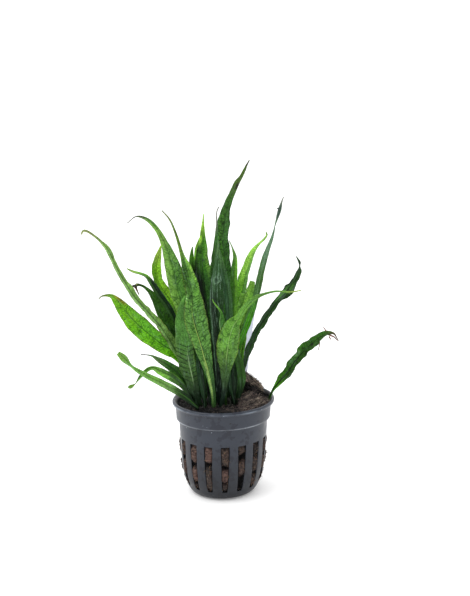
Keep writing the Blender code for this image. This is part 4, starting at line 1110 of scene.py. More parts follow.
finish_material(tree, {"Base Color": dotted, "Roughness": sheen_patch, "Normal": vein_bump, "IOR": 1.4,
                       "Specular IOR Level": 0.14})


def smooth_step(low, high, value):
    share = np.clip((value - low) / (high - low), 0.0, 1.0)
    return share * share * (3.0 - 2.0 * share)


def span(low, high, soft_low, soft_high, value):
    """From 0 up to 1 about low, and back to 0 about high."""
    rising = smooth_step(low - soft_low, low + soft_low, value)
    return rising * (1.0 - smooth_step(high - soft_high, high + soft_high, value))


def blend(first, second, share):
    return first * (1.0 - share[..., None]) + second * share[..., None]


def wavering(values, seed, row):
    """Slow noise from -1 to 1 for each value."""
    return np.array([noise.noise(Vector((value + seed, 3.1 * row, 0.5))) for value in values])


def blade_shape(rows, turns, fold, rib_place, wave, scallop, dice):
    """Points of a closed blade, row by row round it. Also how far up the leaf each row is and half its
    breadth, and for each point where it is across the blade, from -1 at the left edge to 1, which side of
    the leaf it is on, how far it is from the midrib, and how much of a blade, not a stalk, it is part of."""
    length = knot_places(rows)[-1]
    count = max(int(length / BLADE_STEP), BLADE_LEAST_ROWS)
    along = np.linspace(0.0, length, count)
    samples = curve_through(rows, along)
    centre = samples[:, :3] + np.array((0.0, 0.0, BASE_PLATE))
    breadth = np.maximum(samples[:, 3], BLADE_LEAST_BREADTH)
    forward = np.gradient(centre, axis=0)
    forward /= np.linalg.norm(forward, axis=1)[:, None]
    facing = BLADE_FACING[None, :] - forward * (forward @ BLADE_FACING)[:, None]
    facing /= np.linalg.norm(facing, axis=1)[:, None]
    turn = np.radians(np.linspace(*turns, count))
    turned = facing * np.cos(turn)[:, None] + np.cross(forward, facing) * np.sin(turn)[:, None]
    across = np.cross(forward, turned)
    half = 0.5 * breadth / np.cos(turn)
    # Irregular edges: each side narrows and widens by itself.
    shares = np.linspace(-1.0, 1.0, BLADE_QUADS + 1)
    upper = np.tile(shares, (count, 1))
    lower = np.tile(shares[1:-1][::-1], (count, 1))
    ring = np.concatenate([upper, lower], axis=1)
    top_side = np.concatenate([np.ones_like(upper), -np.ones_like(lower)], axis=1)
    side_half = []
    for side in range(2):
        seed = dice.uniform(0.0, 50.0)
        wobble = wavering(along / EDGE_LONG_MM, seed, side) + 0.6 * wavering(along / EDGE_SHORT_MM, seed,
                                                                             side + 2)
        side_half.append(half * (1.0 + scallop * wobble))
    half_here = np.where(ring < 0.0, side_half[0][:, None], side_half[1][:, None])
    # The two halves fold up from the midrib, and their edges ripple.
    side_reach = ring * half_here * math.cos(math.radians(fold))
    from_rib = side_reach - (rib_place * half)[:, None] * smooth_step(*RIB_SETTLES_MM, along)[:, None]
    lift = ((np.abs(from_rib) / half[:, None]) ** 1.15 - 0.5) * half[:, None] * math.sin(math.radians(fold))
    blade_share = smooth_step(*BLADE_BREADTHS, breadth)
    for sign in (-1.0, 1.0):
        phase = dice.uniform(0.0, 6.28)
        beat = dice.uniform(*RIPPLE_MM)
        ripple = np.sin(2.0 * np.pi * along / beat + phase)
        ripple += 0.55 * np.sin(2.0 * np.pi * along / (beat * 0.43) + 2.0 * phase)
        on_side = np.clip(ring * sign, 0.0, 1.0) ** 2.4
        lift += wave * (blade_share * ripple)[:, None] * on_side
    # A round stalk thins to a flat blade with a sunken midrib and small puckers.
    stalk = 1.0 - smooth_step(0.35 * STALK_LENGTH, STALK_LENGTH, along)
    thickness = np.minimum(BLADE_THICKNESS + (STALK_THICKNESS - BLADE_THICKNESS) * stalk, 0.75 * breadth)
    body = np.sqrt(np.clip(1.0 - np.abs(ring) ** 3.0, 0.0, 1.0))
    rib_depth = RIB_GROOVE_DEPTH * (1.0 - stalk) * smooth_step(*RIB_BREADTHS, breadth)
    rib_sink = np.exp(-(from_rib / RIB_GROOVE_HALF) ** 2) * rib_depth[:, None]
    puff_seed = dice.uniform(0.0, 40.0)
    puff = np.array([[noise.noise(Vector((far + puff_seed, reach, 0.3))) for reach in row]
                     for far, row in zip(along / PUCKER_ALONG_MM, side_reach / PUCKER_ACROSS_MM)])
    height = lift + top_side * body * 0.5 * thickness[:, None]
    height += PUCKER_RISE * puff * blade_share[:, None] * body
    height -= np.where(top_side > 0.0, RIB_TOP_SHARE, 1.0) * rib_sink
    points = (centre[:, None, :] + across[:, None, :] * side_reach[..., None]
              + turned[:, None, :] * height[..., None])
    return points, along, half, ring, top_side, from_rib, np.broadcast_to(blade_share[:, None], ring.shape)


def grow_leaf(node_name, turns, fold, colours, rows, rib, rib_strength=0.5, rib_place=0.0,
              rib_span=(0.0, 0.8), vein=0.6, bars=0.0, bar_step=3.8, bar_span=(0.25, 0.9), wave=0.3,
              scallop=0.08, scratches=0.18, net_fineness=1.0, edge=None, marks=()):
    """A frond as one closed blade, turned by degrees at its root and its tip and folded by degrees. Its
    colours are those of its left and right halves, its root and its tip, with painted light and shade in
    them: a half is painted lighter where it is lit and darker where it is shaded, and a dark root is painted
    shade. Each row is a place on its midline and its breadth, with heights from the top of the base plate.
    rib_place is where the midrib lies, from -1 at the left edge to 1, and rib_span is where along the leaf
    it shows. bars is how dark the side veins are, bar_step millimetres apart. Each mark is how far up the
    leaf and how far across it lies, its length and width in millimetres, its colour and its strength. Marks
    are the leaf's own patches and spots, and also painted highlights and painted shadows."""
    number = sum(map(ord, node_name))
    dice = np.random.default_rng(number)
    points, along, half, ring, top_side, from_rib, blade_share = blade_shape(rows, turns, fold, rib_place,
                                                                             wave, scallop, dice)
    count, sides = ring.shape
    blade = mesh_object(node_name.replace("_leaf", "_blade"), points.reshape(-1, 3),
                        closed_tube(count, sides), cuticle)
    turn_faces_out(blade)

    up = np.broadcast_to((along / along[-1])[:, None], ring.shape)
    left, right, root, tip = (np.array(linear(code)[:3]) for code in colours)
    # Each half's colour is painted lighter or darker where that half is lit or shaded, and a dark root is
    # painted shade.
    tone = blend(np.broadcast_to(left, ring.shape + (3,)), right,
                 smooth_step(-0.25, 0.25, from_rib / half[:, None]))
    tone = blend(np.broadcast_to(root, ring.shape + (3,)), tone, smooth_step(*ROOT_COLOUR_ENDS, up))
    tone = blend(tone, tip, smooth_step(*TIP_COLOUR_STARTS, up))
    if edge:
        edge_share = smooth_step(*EDGE_COLOUR_BAND, np.abs(ring)) * smooth_step(*EDGE_COLOUR_STARTS, up)
        edge_share *= EDGE_COLOUR_STRENGTH
        tone = blend(tone, np.array(linear(edge)[:3]), edge_share)
    for mark_up, mark_across, mark_length, mark_width, code, strength in marks:
        off_along = (along[:, None] - mark_up * along[-1]) / (0.5 * mark_length)
        off_across = (ring - mark_across) * half[:, None] / (0.5 * mark_width)
        mark_share = strength * (1.0 - smooth_step(*MARK_FADES, np.hypot(off_along, off_across)))
        tone = blend(tone, np.array(linear(code)[:3]), mark_share)
    tone = np.where((top_side < 0.0)[..., None], tone * UNDERSIDE_TIMES + UNDERSIDE_ADDS, tone)
    rib_tone = np.broadcast_to(linear(rib), ring.shape + (4,)).copy()
    rib_tone[..., 3] = rib_strength * span(*rib_span, 0.06, 0.1, up)
    paint(blade.data, "FLOAT_COLOR", blade_tone=np.dstack([tone, np.ones_like(ring)]), blade_rib=rib_tone)

    leaf_cut = number % 97 * NEXT_LEAF
    rib_width = RIB_STRIPE_HALF + RIB_STRIPE_FOOT * (1.0 - smooth_step(*RIB_STRIPE_THINS_MM, along))
    paint(blade.data, "FLOAT_VECTOR",
          blade_place=np.dstack([from_rib, np.broadcast_to(along[:, None], ring.shape),
                                 np.where(top_side > 0.0, leaf_cut, leaf_cut + OTHER_SIDE)]),
          blade_traits=np.dstack([vein * blade_share, bars * span(*bar_span, 0.05, 0.08, up),
                                  np.broadcast_to(rib_width[:, None], ring.shape)]))
    paint(blade.data, "FLOAT", blade_bar_step=np.full(ring.size, bar_step),
          blade_scratches=np.full(ring.size, scratches),
          blade_net_fineness=np.full(ring.size, net_fineness))
    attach(blade, "root")
    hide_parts(node_name)


# The leaves' colours hold painted light and shade: lit and shaded halves, dark roots in the shade of the
# tuft, and marks that are painted highlights and shadows besides the leaves' own patches.
grow_leaf(
    "front_centre_leaf", (10, 25), 12, ("#5a8a3a", "#56863a", "#3e6430", "#6c7848"), rib="#9cba58",
    rib_strength=0.8, rib_place=-0.16, rib_span=(0.2, 0.5), vein=1.0, bars=0.8, bar_step=4.4, wave=0.35,
    edge="#6c7a38",
    marks=((0.68, -0.5, 20, 4.0, "#2a5412", 0.8), (0.64, 0.5, 22, 4, "#5c9430", 0.6),
           (0.3, -0.12, 18, 0.5, "#16240e", 0.7), (0.42, -0.14, 16, 0.5, "#16240e", 0.7),
           (0.56, -0.16, 16, 0.4, "#20340f", 0.6), (0.71, 0.75, 14, 1.6, "#8cc44c", 0.7),
           (0.575, -0.9, 3, 1.2, "#94d074", 0.9), (0.86, 0.0, 20, 4, "#5f7c2c", 0.8),
           (0.15, -0.4, 26, 1.2, "#98ba64", 0.9), (0.04, 0.0, 9, 3, "#2c4a28", 0.45),
           (0.14, 0.6, 26, 1.4, "#22401a", 0.7)),
    rows=((-5.0, -13.6, 49.0, 2.3), (-5.4, -15.0, 57.8, 2.9), (-6.8, -17.5, 68.9, 4.4),
          (-8.6, -20.0, 78.0, 7.0), (-10.4, -22.0, 87.5, 9.8), (-12.4, -23.5, 96.0, 11.4),
          (-13.4, -24.5, 103.5, 10.8), (-13.5, -25.0, 111.5, 7.8), (-14.4, -25.0, 117.5, 6.6),
          (-16.2, -25.0, 125.0, 5.2), (-18.2, -24.5, 131.5, 2.3), (-21.0, -23.0, 142.0, 1.25),
          (-23.8, -21.5, 149.0, 0.9), (-27.6, -20.0, 153.6, 0.5)))
grow_leaf(
    "front_right_broad_leaf", (-10, -30), 10, ("#567f33", "#558135", "#14261a", "#a4ba54"),
    rib="#9cbc70", rib_strength=0.45, rib_span=(0.3, 0.62), vein=0.72, bars=0.35, bar_step=3.0,
    edge="#7c983c",
    marks=((0.52, -0.3, 34, 8, "#66a03a", 0.6), (0.2, 0.0, 16, 6, "#3c5a30", 0.5),
           (0.86, 0.0, 16, 3, "#548432", 0.8), (0.42, -0.75, 1.3, 1.3, "#141a0a", 0.9),
           (0.34, -0.35, 2.4, 0.6, "#1c3414", 0.7), (0.7, 0.0, 14, 5, "#4c7a2c", 0.6)),
    rows=((-1.4, -13.2, 49.0, 2.0), (0.7, -14.2, 59.5, 2.9), (1.4, -16.0, 68.7, 5.2),
          (2.1, -18.5, 76.9, 9.7), (3.0, -19.5, 82.9, 11.7), (4.1, -20.3, 88.9, 11.2),
          (6.2, -21.0, 94.4, 8.4), (8.7, -21.8, 98.2, 4.6), (11.3, -22.6, 102.6, 3.4),
          (14.4, -23.2, 106.3, 3.2), (17.6, -23.5, 108.9, 2.6), (21.4, -23.3, 110.5, 1.6),
          (28.0, -22.0, 111.6, 1.1), (35.2, -20.0, 110.6, 1.0), (40.9, -18.0, 110.9, 0.5)))
grow_leaf(
    "small_front_left_leaf", (20, 20), 10, ("#18341a", "#102412", "#0a160c", "#2c5228"), rib="#2c4a2c",
    rib_strength=0.4, wave=0.2,
    rows=((-9.8, -14.4, 49.0, 1.4), (-10.5, -15.6, 59.1, 2.6), (-11.7, -17.0, 69.2, 3.4),
          (-12.9, -18.0, 79.5, 0.8)))
grow_leaf(
    "front_left_leaf", (-20, -25), 12, ("#40632d", "#355625", "#152815", "#568a3a"), rib="#9ab886",
    rib_strength=0.45, rib_place=0.2, rib_span=(0.24, 0.5), vein=0.45, bars=2.2, bar_step=2.6,
    bar_span=(0.22, 0.58), scratches=0.2, edge="#5c7c38",
    marks=((0.7, 0.0, 26, 9, "#4e8434", 0.7),),
    rows=((-12.2, -11.6, 49.0, 1.9), (-15.2, -13.5, 59.7, 6.0), (-18.2, -17.0, 75.0, 8.8),
          (-19.0, -19.0, 84.5, 9.2), (-19.7, -20.0, 93.7, 7.1), (-19.8, -20.5, 102.1, 4.6),
          (-18.9, -20.5, 107.8, 1.8), (-16.5, -20.0, 111.4, 0.5)))
grow_leaf(
    "low_left_long_leaf", (30, 20), 15, ("#74a850", "#6ca044", "#122014", "#6c9840"), rib="#44742c",
    vein=0.4, wave=0.25,
    # The large dark mark at the foot is painted shadow.
    marks=((0.36, -0.3, 16, 4, "#88b068", 0.7), (0.14, 0.0, 22, 10, "#1c301c", 0.9)),
    rows=((-13.4, -14.0, 49.0, 2.0), (-21.4, -17.0, 57.6, 3.7), (-32.3, -20.0, 65.4, 3.8),
          (-38.1, -22.0, 69.3, 3.1), (-42.9, -23.0, 72.7, 2.4), (-46.3, -23.5, 75.6, 1.5),
          (-49.6, -24.0, 79.7, 3.7), (-52.5, -24.0, 82.7, 2.3)))
grow_leaf(
    "small_front_right_leaf", (-10, -10), 10, ("#18361c", "#102412", "#0a160c", "#2a5028"),
    rib="#2c4a2c", rib_strength=0.4, vein=0.5, wave=0.2,
    rows=((6.0, -10.8, 49.0, 1.3), (4.9, -12.0, 55.0, 2.4), (4.2, -13.2, 60.4, 3.2),
          (4.2, -14.6, 71.0, 3.2), (4.4, -15.8, 81.0, 0.8)))
grow_leaf(
    "thin_bright_leaf", (15, 20), 10, ("#3c7424", "#346420", "#203c14", "#74ac44"), rib="#a4b890",
    rib_place=-0.8, rib_span=(0.35, 0.8), vein=0.4, wave=0.15,
    rows=((1.3, -11.6, 49.0, 1.3), (1.0, -13.4, 66.6, 1.4), (1.3, -16.0, 85.0, 2.4),
          (0.5, -18.6, 95.2, 3.1), (0.1, -19.8, 101.1, 1.2), (-3.3, -20.4, 106.4, 0.48),
          (-4.1, -20.4, 108.2, 0.4)))

# Left leaves.
# Fronds that arch out over the left of the rim. Two low ones droop, the far one is folded along its
# midrib, and one carries a plantlet's black bud and rootlets at its tip.

grow_leaf(
    "arching_left_leaf", (10, 15), 14, ("#7aae4a", "#528534", "#274c1e", "#44483c"), rib="#2c5a1c",
    rib_strength=0.6, vein=0.78, bars=0.35, bar_step=3.4, wave=0.35, edge="#76923c",
    marks=((0.72, 0.3, 20, 5, "#689a44", 0.7), (0.8, 0.0, 14, 4, "#6c9040", 0.6)),
    rows=((-9.4, -11.6, 49.0, 1.6), (-11.5, -12.4, 61.0, 3.0), (-13.1, -13.2, 73.7, 4.7),
          (-14.9, -14.4, 83.5, 6.4), (-17.0, -15.8, 96.5, 7.8), (-19.2, -16.5, 103.3, 8.2),
          (-22.2, -17.0, 115.4, 8.1), (-23.4, -17.0, 123.1, 8.2), (-25.2, -16.5, 130.2, 6.4),
          (-27.0, -16.0, 135.8, 4.2), (-30.3, -15.0, 142.8, 2.6), (-34.6, -14.0, 147.9, 2.2),
          (-38.6, -13.0, 149.9, 1.4), (-41.7, -12.0, 149.9, 0.6), (-45.8, -11.0, 146.8, 0.4)))
grow_leaf(
    "drooping_low_left_leaf", (-35, -20), 16, ("#74b044", "#2c4c20", "#182c18", "#6c943c"),
    rib="#1c3a18", rib_strength=0.6, vein=0.5, edge="#76b040",
    marks=((0.32, -0.5, 16, 3, "#2c4a22", 0.8), (0.66, 0.3, 18, 4, "#5c9030", 0.8)),
    rows=((-15.4, -11.4, 49.0, 1.6), (-19.6, -12.6, 58.7, 2.6), (-23.3, -15.0, 64.1, 3.7),
          (-28.2, -16.5, 68.2, 4.6), (-32.2, -17.5, 70.8, 3.8), (-35.7, -18.0, 72.7, 2.1),
          (-38.5, -18.5, 72.0, 2.2), (-42.4, -19.5, 68.5, 1.7), (-44.9, -20.0, 65.2, 0.5),
          (-47.4, -20.5, 63.7, 2.2), (-48.7, -20.5, 63.4, 0.9)))
grow_leaf(
    "low_left_dark_leaf", (25, 20), 14, ("#366022", "#3e7028", "#162a18", "#4a4a46"), rib="#1a341a",
    rib_strength=0.6,
    marks=((0.78, 0.0, 10, 3, "#688650", 0.7),),
    rows=((-14.2, -8.8, 49.0, 1.6), (-18.9, -10.8, 60.6, 3.5), (-23.2, -12.2, 67.7, 5.0),
          (-27.2, -12.8, 71.5, 4.4), (-30.2, -13.0, 73.7, 3.6), (-33.2, -13.2, 75.7, 2.6),
          (-36.7, -13.5, 78.0, 0.9), (-42.1, -14.0, 78.9, 0.5)))
grow_leaf(
    "far_left_arching_leaf", (35, 40), 25, ("#8cb868", "#749e4c", "#6e9e46", "#7c8850"), rib="#34521f",
    rib_strength=0.8, rib_place=0.1, vein=0.8, bars=0.3, bar_step=4.2, wave=0.45, scallop=0.26,
    edge="#84803c",
    marks=((0.42, -0.9, 16, 1.2, "#5c3a20", 0.7), (0.36, -0.8, 1.6, 1.6, "#181810", 0.9)),
    rows=((-11.8, -9.4, 49.0, 1.6), (-17.0, -10.4, 67.3, 3.2), (-23.8, -12.0, 79.7, 4.4),
          (-29.0, -14.5, 90.0, 4.6), (-33.7, -16.0, 97.4, 4.6), (-38.0, -17.0, 103.0, 4.3),
          (-42.7, -18.0, 109.0, 3.6), (-45.9, -18.0, 114.3, 3.8), (-51.0, -18.0, 123.6, 2.9),
          (-55.5, -17.5, 133.8, 2.9), (-59.3, -17.0, 138.9, 1.7), (-64.6, -16.5, 143.3, 1.5),
          (-67.3, -16.2, 144.1, 1.7), (-68.5, -16.0, 142.3, 0.8)))
grow_leaf(
    "broad_left_leaf", (-5, -12), 10, ("#68b41c", "#60a826", "#428422", "#5f6f34"), rib="#28520f",
    rib_strength=0.9, vein=0.9, bars=0.25, bar_step=3.6, net_fineness=1.7, edge="#8a8a2c",
    marks=((0.8, -0.1, 24, 8, "#6ca81a", 0.7), (0.86, 0.7, 8, 2, "#8a5a24", 0.6)),
    rows=((-12.4, 1.0, 49.0, 1.6), (-17.9, -1.4, 67.0, 4.8), (-24.1, -6.6, 77.5, 7.4),
          (-29.7, -8.5, 81.4, 8.4), (-34.1, -9.5, 85.2, 9.7), (-39.1, -10.0, 89.8, 10.4),
          (-44.5, -10.0, 95.3, 9.9), (-49.8, -10.0, 101.8, 7.3), (-53.3, -9.5, 106.5, 4.6),
          (-56.3, -9.0, 109.2, 2.1), (-60.7, -8.5, 109.2, 0.8), (-62.8, -8.0, 107.6, 0.5)))
grow_leaf(
    "twisted_dark_leaf", (20, 50), 10, ("#2c501c", "#1a301c", "#14260f", "#7a9a3c"), rib="#0e1e0c",
    vein=0.9, wave=0.25,
    marks=((0.9, 0.5, 9, 3, "#6cac2c", 0.8), (0.86, -0.5, 9, 3, "#3a6824", 0.7)),
    rows=((-9.4, -8.6, 49.0, 1.6), (-18.4, -5.3, 77.1, 3.7), (-23.5, -5.4, 92.9, 2.9),
          (-27.3, -6.0, 101.7, 3.7), (-31.1, -6.5, 107.8, 3.7), (-34.9, -7.0, 114.3, 3.0),
          (-37.8, -7.0, 118.5, 2.1), (-40.8, -7.0, 120.0, 1.7), (-44.4, -7.0, 121.1, 1.5),
          (-47.7, -7.0, 122.9, 0.5)))
grow_leaf(
    "plantlet_leaf", (15, 25), 12, ("#3e6e20", "#38641e", "#1c3816", "#241c14"), rib="#6a9a58",
    rib_place=-0.9, vein=0.7, wave=0.25,
    marks=((0.5, 0.0, 12, 8, "#24441a", 0.7),),
    rows=((-13.8, 3.6, 49.0, 1.6), (-18.3, 0.6, 68.9, 3.7), (-24.1, -0.6, 82.5, 5.8),
          (-27.9, -1.6, 91.3, 5.8), (-31.2, -2.2, 99.6, 5.8), (-34.0, -2.6, 105.5, 4.2),
          (-37.0, -3.0, 109.9, 2.1), (-40.5, -3.2, 112.9, 1.2), (-43.6, -3.4, 113.4, 1.6),
          (-43.4, -3.6, 111.0, 0.8), (-42.2, -3.8, 108.4, 0.4)))
grow_leaf(
    "upright_left_leaf", (40, 30), 14, ("#70b01c", "#9adc34", "#40741c", "#a4c850"), rib="#3c6c14",
    rib_strength=0.6, vein=0.9, bars=0.25, wave=0.35, scallop=0.1, net_fineness=1.7, edge="#7a8a30",
    rows=((-9.6, 2.4, 49.0, 1.6), (-16.0, 2.0, 74.0, 4.4), (-21.8, 2.5, 92.0, 5.6),
          (-26.1, 3.0, 102.9, 6.2), (-29.6, 3.0, 108.3, 6.0), (-32.5, 3.0, 114.3, 5.2),
          (-33.3, 3.0, 121.2, 4.7), (-32.0, 3.0, 127.0, 3.4), (-30.3, 3.0, 132.8, 0.7)))

# Centre leaves.
# The upright fronds in the middle, from nearly black green in the shade to bright young ones. The tallest
# stands behind them and bends to the right at its tip.

grow_leaf(
    "centre_spike_leaf", (20, 40), 24, ("#182c1a", "#1f3d1b", "#0c1a12", "#4c6e3e"), rib="#12221a",
    rib_strength=0.6, rib_place=0.1, vein=0.5, wave=0.25, scratches=0.55,
    # The pale ring with a dark middle is a painted highlight and shade of a water drop, which is left out.
    marks=((0.8, -0.1, 22, 6, "#3c6238", 0.8), (0.5, -0.85, 56, 1.2, "#5c8060", 0.6),
           (0.77, 0.1, 4.4, 4.4, "#86ac8a", 0.85), (0.77, 0.1, 3.0, 3.0, "#345438", 0.95)),
    rows=((-2.4, -10.6, 49.0, 2.0), (-2.1, -11.4, 60.4, 3.6), (-2.0, -12.8, 71.6, 4.7),
          (-2.1, -14.5, 85.5, 6.7), (-2.4, -16.0, 106.9, 8.7), (-2.0, -16.0, 117.2, 6.1),
          (-1.2, -15.5, 126.3, 3.0), (-0.2, -14.5, 137.1, 0.6)))
grow_leaf(
    "dark_centre_leaf", (15, 30), 12, ("#0e200c", "#3c6e2c", "#0e1c0c", "#90c440"), rib="#0c1c0a",
    rib_strength=0.6, rib_place=0.1, vein=0.9, bars=0.35, wave=0.35, net_fineness=1.5,
    marks=((0.8, 0.0, 22, 8, "#3c741c", 0.8), (0.78, 0.5, 16, 4, "#4c8c24", 0.7),
           (0.87, -0.7, 5, 2.5, "#98d040", 0.8), (0.76, 0.8, 18, 2.5, "#6ca03c", 0.8)),
    rows=((-4.6, -8.8, 49.0, 2.2), (-4.4, -8.4, 62.2, 4.4), (-4.8, -9.5, 78.9, 5.0),
          (-7.0, -10.8, 98.0, 6.7), (-7.9, -11.2, 108.7, 7.7), (-8.7, -11.2, 116.6, 8.2),
          (-9.0, -11.2, 125.9, 7.6), (-8.4, -11.0, 134.5, 4.6), (-8.1, -10.5, 141.1, 2.5),
          (-7.6, -10.0, 146.6, 1.0), (-7.3, -10.0, 150.2, 0.5)))
grow_leaf(
    "dark_narrow_leaf", (30, 35), 12, ("#1c3612", "#20380f", "#0c160c", "#508a28"), rib="#0c160c",
    vein=0.5, wave=0.2,
    rows=((-7.0, -9.2, 49.0, 1.6), (-8.6, -6.0, 78.0, 3.7), (-11.2, -5.6, 99.7, 4.7),
          (-13.4, -5.0, 116.7, 4.7), (-14.3, -5.0, 127.1, 2.6), (-13.6, -5.0, 133.0, 0.5)))
grow_leaf(
    "bright_inner_leaf", (20, 30), 12, ("#86cc3a", "#80c432", "#3a661c", "#86bc44"), rib="#4c8a1c",
    vein=0.4, wave=0.2,
    rows=((-7.2, 3.6, 49.0, 1.6), (-8.9, 4.0, 81.3, 3.7), (-10.3, 5.0, 105.5, 5.3),
          (-10.8, 6.0, 121.5, 5.3), (-11.3, 6.5, 129.4, 3.2), (-10.1, 7.0, 135.7, 0.5)))
grow_leaf(
    "thin_tip_leaf", (30, 45), 12, ("#34601f", "#386630", "#1c361a", "#888a80"), rib="#86aa70",
    rib_strength=0.4, vein=0.5, wave=0.2,
    rows=((-2.0, 1.6, 49.0, 1.6), (-2.6, 0.0, 82.1, 3.2), (-2.7, 0.0, 103.6, 4.2),
          (-2.2, 0.6, 123.7, 4.7), (-1.7, 1.2, 132.5, 2.6), (-0.8, 2.0, 142.9, 0.9),
          (-0.7, 2.0, 149.2, 0.6), (0.5, 2.0, 152.4, 0.5)))
grow_leaf(
    "tallest_leaf", (-15, -35), 14, ("#3c6a26", "#305c20", "#1c361a", "#32501e"), rib="#16301a",
    rib_strength=0.6, vein=0.95, bars=0.35, bar_step=4.6, wave=0.4, scallop=0.12, scratches=0.15,
    marks=((0.5, -0.6, 40, 3, "#245a0c", 0.7), (0.84, 0.0, 40, 7, "#30541c", 0.75),
           (0.93, 0.0, 26, 6, "#3e5418", 0.8), (0.885, 0.5, 4.5, 2.2, "#171408", 0.95),
           (0.985, 0.0, 2.5, 2.0, "#241c12", 0.8), (0.72, -0.2, 1.2, 1.2, "#101408", 0.9),
           (0.66, -0.3, 1.2, 1.2, "#101408", 0.9)),
    rows=((0.6, 4.4, 49.0, 1.6), (2.6, 5.0, 75.4, 4.8), (3.6, 6.5, 92.5, 6.4), (3.5, 7.5, 107.5, 6.9),
          (2.8, 8.5, 123.4, 6.9), (2.1, 9.2, 134.0, 6.8), (3.2, 10.0, 144.5, 6.4),
          (4.6, 10.5, 150.2, 5.0), (6.5, 11.0, 155.4, 3.8), (8.7, 11.4, 160.0, 3.4),
          (10.7, 11.8, 163.9, 3.2), (12.7, 12.2, 166.7, 2.2), (14.7, 12.4, 170.3, 1.7),
          (15.9, 12.5, 172.8, 1.1), (17.4, 12.5, 175.4, 0.5)))
grow_leaf(
    "pale_inner_leaf", (25, 35), 12, ("#284a2a", "#365a30", "#1c321c", "#446838"), rib="#1c341f",
    vein=0.4, wave=0.2,
    rows=((0.4, -10.0, 49.0, 1.6), (3.7, -6.5, 82.9, 3.2), (4.1, -5.5, 102.8, 4.2),
          (3.1, -5.0, 112.3, 4.2), (1.5, -4.5, 121.2, 3.0), (0.3, -4.0, 130.6, 0.6)))
grow_leaf(
    "short_green_leaf", (-25, -35), 12, ("#3a6a20", "#68a434", "#1c361a", "#689444"), rib="#1c3a14",
    vein=0.5, wave=0.25,
    rows=((2.6, 2.0, 49.0, 1.6), (5.5, 0.6, 81.6, 3.7), (7.1, 1.0, 103.1, 4.2), (7.3, 1.5, 111.0, 4.0),
          (7.9, 1.5, 120.1, 3.4), (8.3, 2.0, 125.8, 2.1), (7.1, 2.0, 130.6, 0.8), (5.4, 2.0, 134.7, 0.4)))

# Right leaves.
# Fronds that lean to the right, two of them short and crinkled. The far one grows up between the wool and
# the wall of the pot, with brown rootlets at its tip.

grow_leaf(
    "light_right_leaf", (-25, -40), 14, ("#80c43c", "#6ca648", "#38601f", "#84b048"), rib="#3c6c1c",
    rib_strength=0.6, rib_place=0.2, vein=0.85, bars=0.3, net_fineness=1.3, edge="#8ab458",
    marks=((0.8, -0.3, 26, 4, "#a0d858", 0.8),),
    rows=((2.8, 6.4, 49.0, 1.6), (6.9, 8.0, 80.0, 3.8), (9.6, 8.5, 98.8, 5.4), (11.2, 9.5, 106.8, 5.6),
          (13.2, 10.5, 114.7, 5.1), (15.9, 11.5, 122.0, 4.0), (18.7, 12.0, 127.7, 2.7),
          (21.7, 12.5, 131.1, 1.5), (24.2, 13.0, 133.1, 1.3), (25.8, 13.0, 135.5, 1.0),
          (25.3, 13.0, 137.4, 0.4)))
grow_leaf(
    "crinkled_leaf", (-15, -25), 8, ("#6ca044", "#68a040", "#2c501c", "#7cb04a"), rib="#2a4c1c",
    rib_strength=0.6, bars=0.4, bar_step=2.6, wave=0.5, scallop=0.16,
    rows=((4.9, 4.4, 49.0, 1.4), (8.8, 4.4, 80.0, 3.2), (11.0, 4.6, 91.0, 5.0), (11.9, 4.6, 99.2, 5.0),
          (12.5, 4.6, 105.7, 3.6)))
grow_leaf(
    "torn_tip_leaf", (-15, -25), 8, ("#88c04c", "#6ca83a", "#2c501c", "#72a43c"), rib="#2c5a1c",
    rib_strength=0.6, vein=0.9, bars=0.5, bar_step=2.8, wave=0.5, scallop=0.18,
    rows=((7.0, 4.6, 49.0, 1.4), (11.4, 1.4, 80.5, 3.2), (14.1, 1.4, 101.0, 4.4),
          (15.8, 1.6, 106.3, 4.8), (17.2, 1.6, 112.8, 2.9)))
grow_leaf(
    "tall_right_leaf", (-25, -40), 14, ("#426834", "#3a5e2a", "#34641c", "#74786c"), rib="#84a870",
    rib_strength=0.4, vein=0.55, wave=0.35, scallop=0.2, scratches=0.2,
    marks=((0.36, 0.2, 34, 4.5, "#469612", 0.85), (0.78, 0.0, 34, 3, "#5a7860", 0.8),
           (0.93, 0.0, 9, 2.5, "#2c443a", 0.9)),
    rows=((6.6, 2.0, 49.0, 1.8), (7.2, -1.6, 64.0, 2.8), (7.8, -3.4, 75.9, 3.8), (9.8, -4.0, 81.9, 4.0),
          (12.4, -4.0, 88.1, 4.2), (14.9, -3.2, 94.0, 4.2), (16.9, -2.5, 99.2, 4.0),
          (18.6, -1.8, 104.4, 3.8), (19.9, -1.0, 109.5, 3.6), (21.1, -0.3, 114.7, 3.5),
          (23.9, 1.0, 124.7, 2.9), (25.7, 1.8, 129.6, 2.3), (27.6, 2.5, 134.2, 1.7),
          (29.0, 3.0, 138.8, 0.9), (29.6, 3.3, 141.6, 0.5), (32.2, 4.3, 149.1, 1.9),
          (33.6, 4.8, 154.2, 0.7), (34.5, 5.0, 156.3, 0.4)))
grow_leaf(
    "dark_base_right_leaf", (20, 30), 10, ("#244a12", "#2b5216", "#142c14", "#2c4c20"), rib="#14260f",
    rib_strength=0.4, vein=0.5, wave=0.25,
    rows=((6.9, -7.6, 49.0, 1.6), (8.9, -7.8, 56.0, 3.0), (9.9, -8.4, 62.8, 4.6), (9.0, -9.2, 70.2, 4.6),
          (7.3, -10.2, 77.6, 4.2), (5.9, -11.0, 85.4, 2.6), (5.4, -11.4, 91.0, 0.6)))
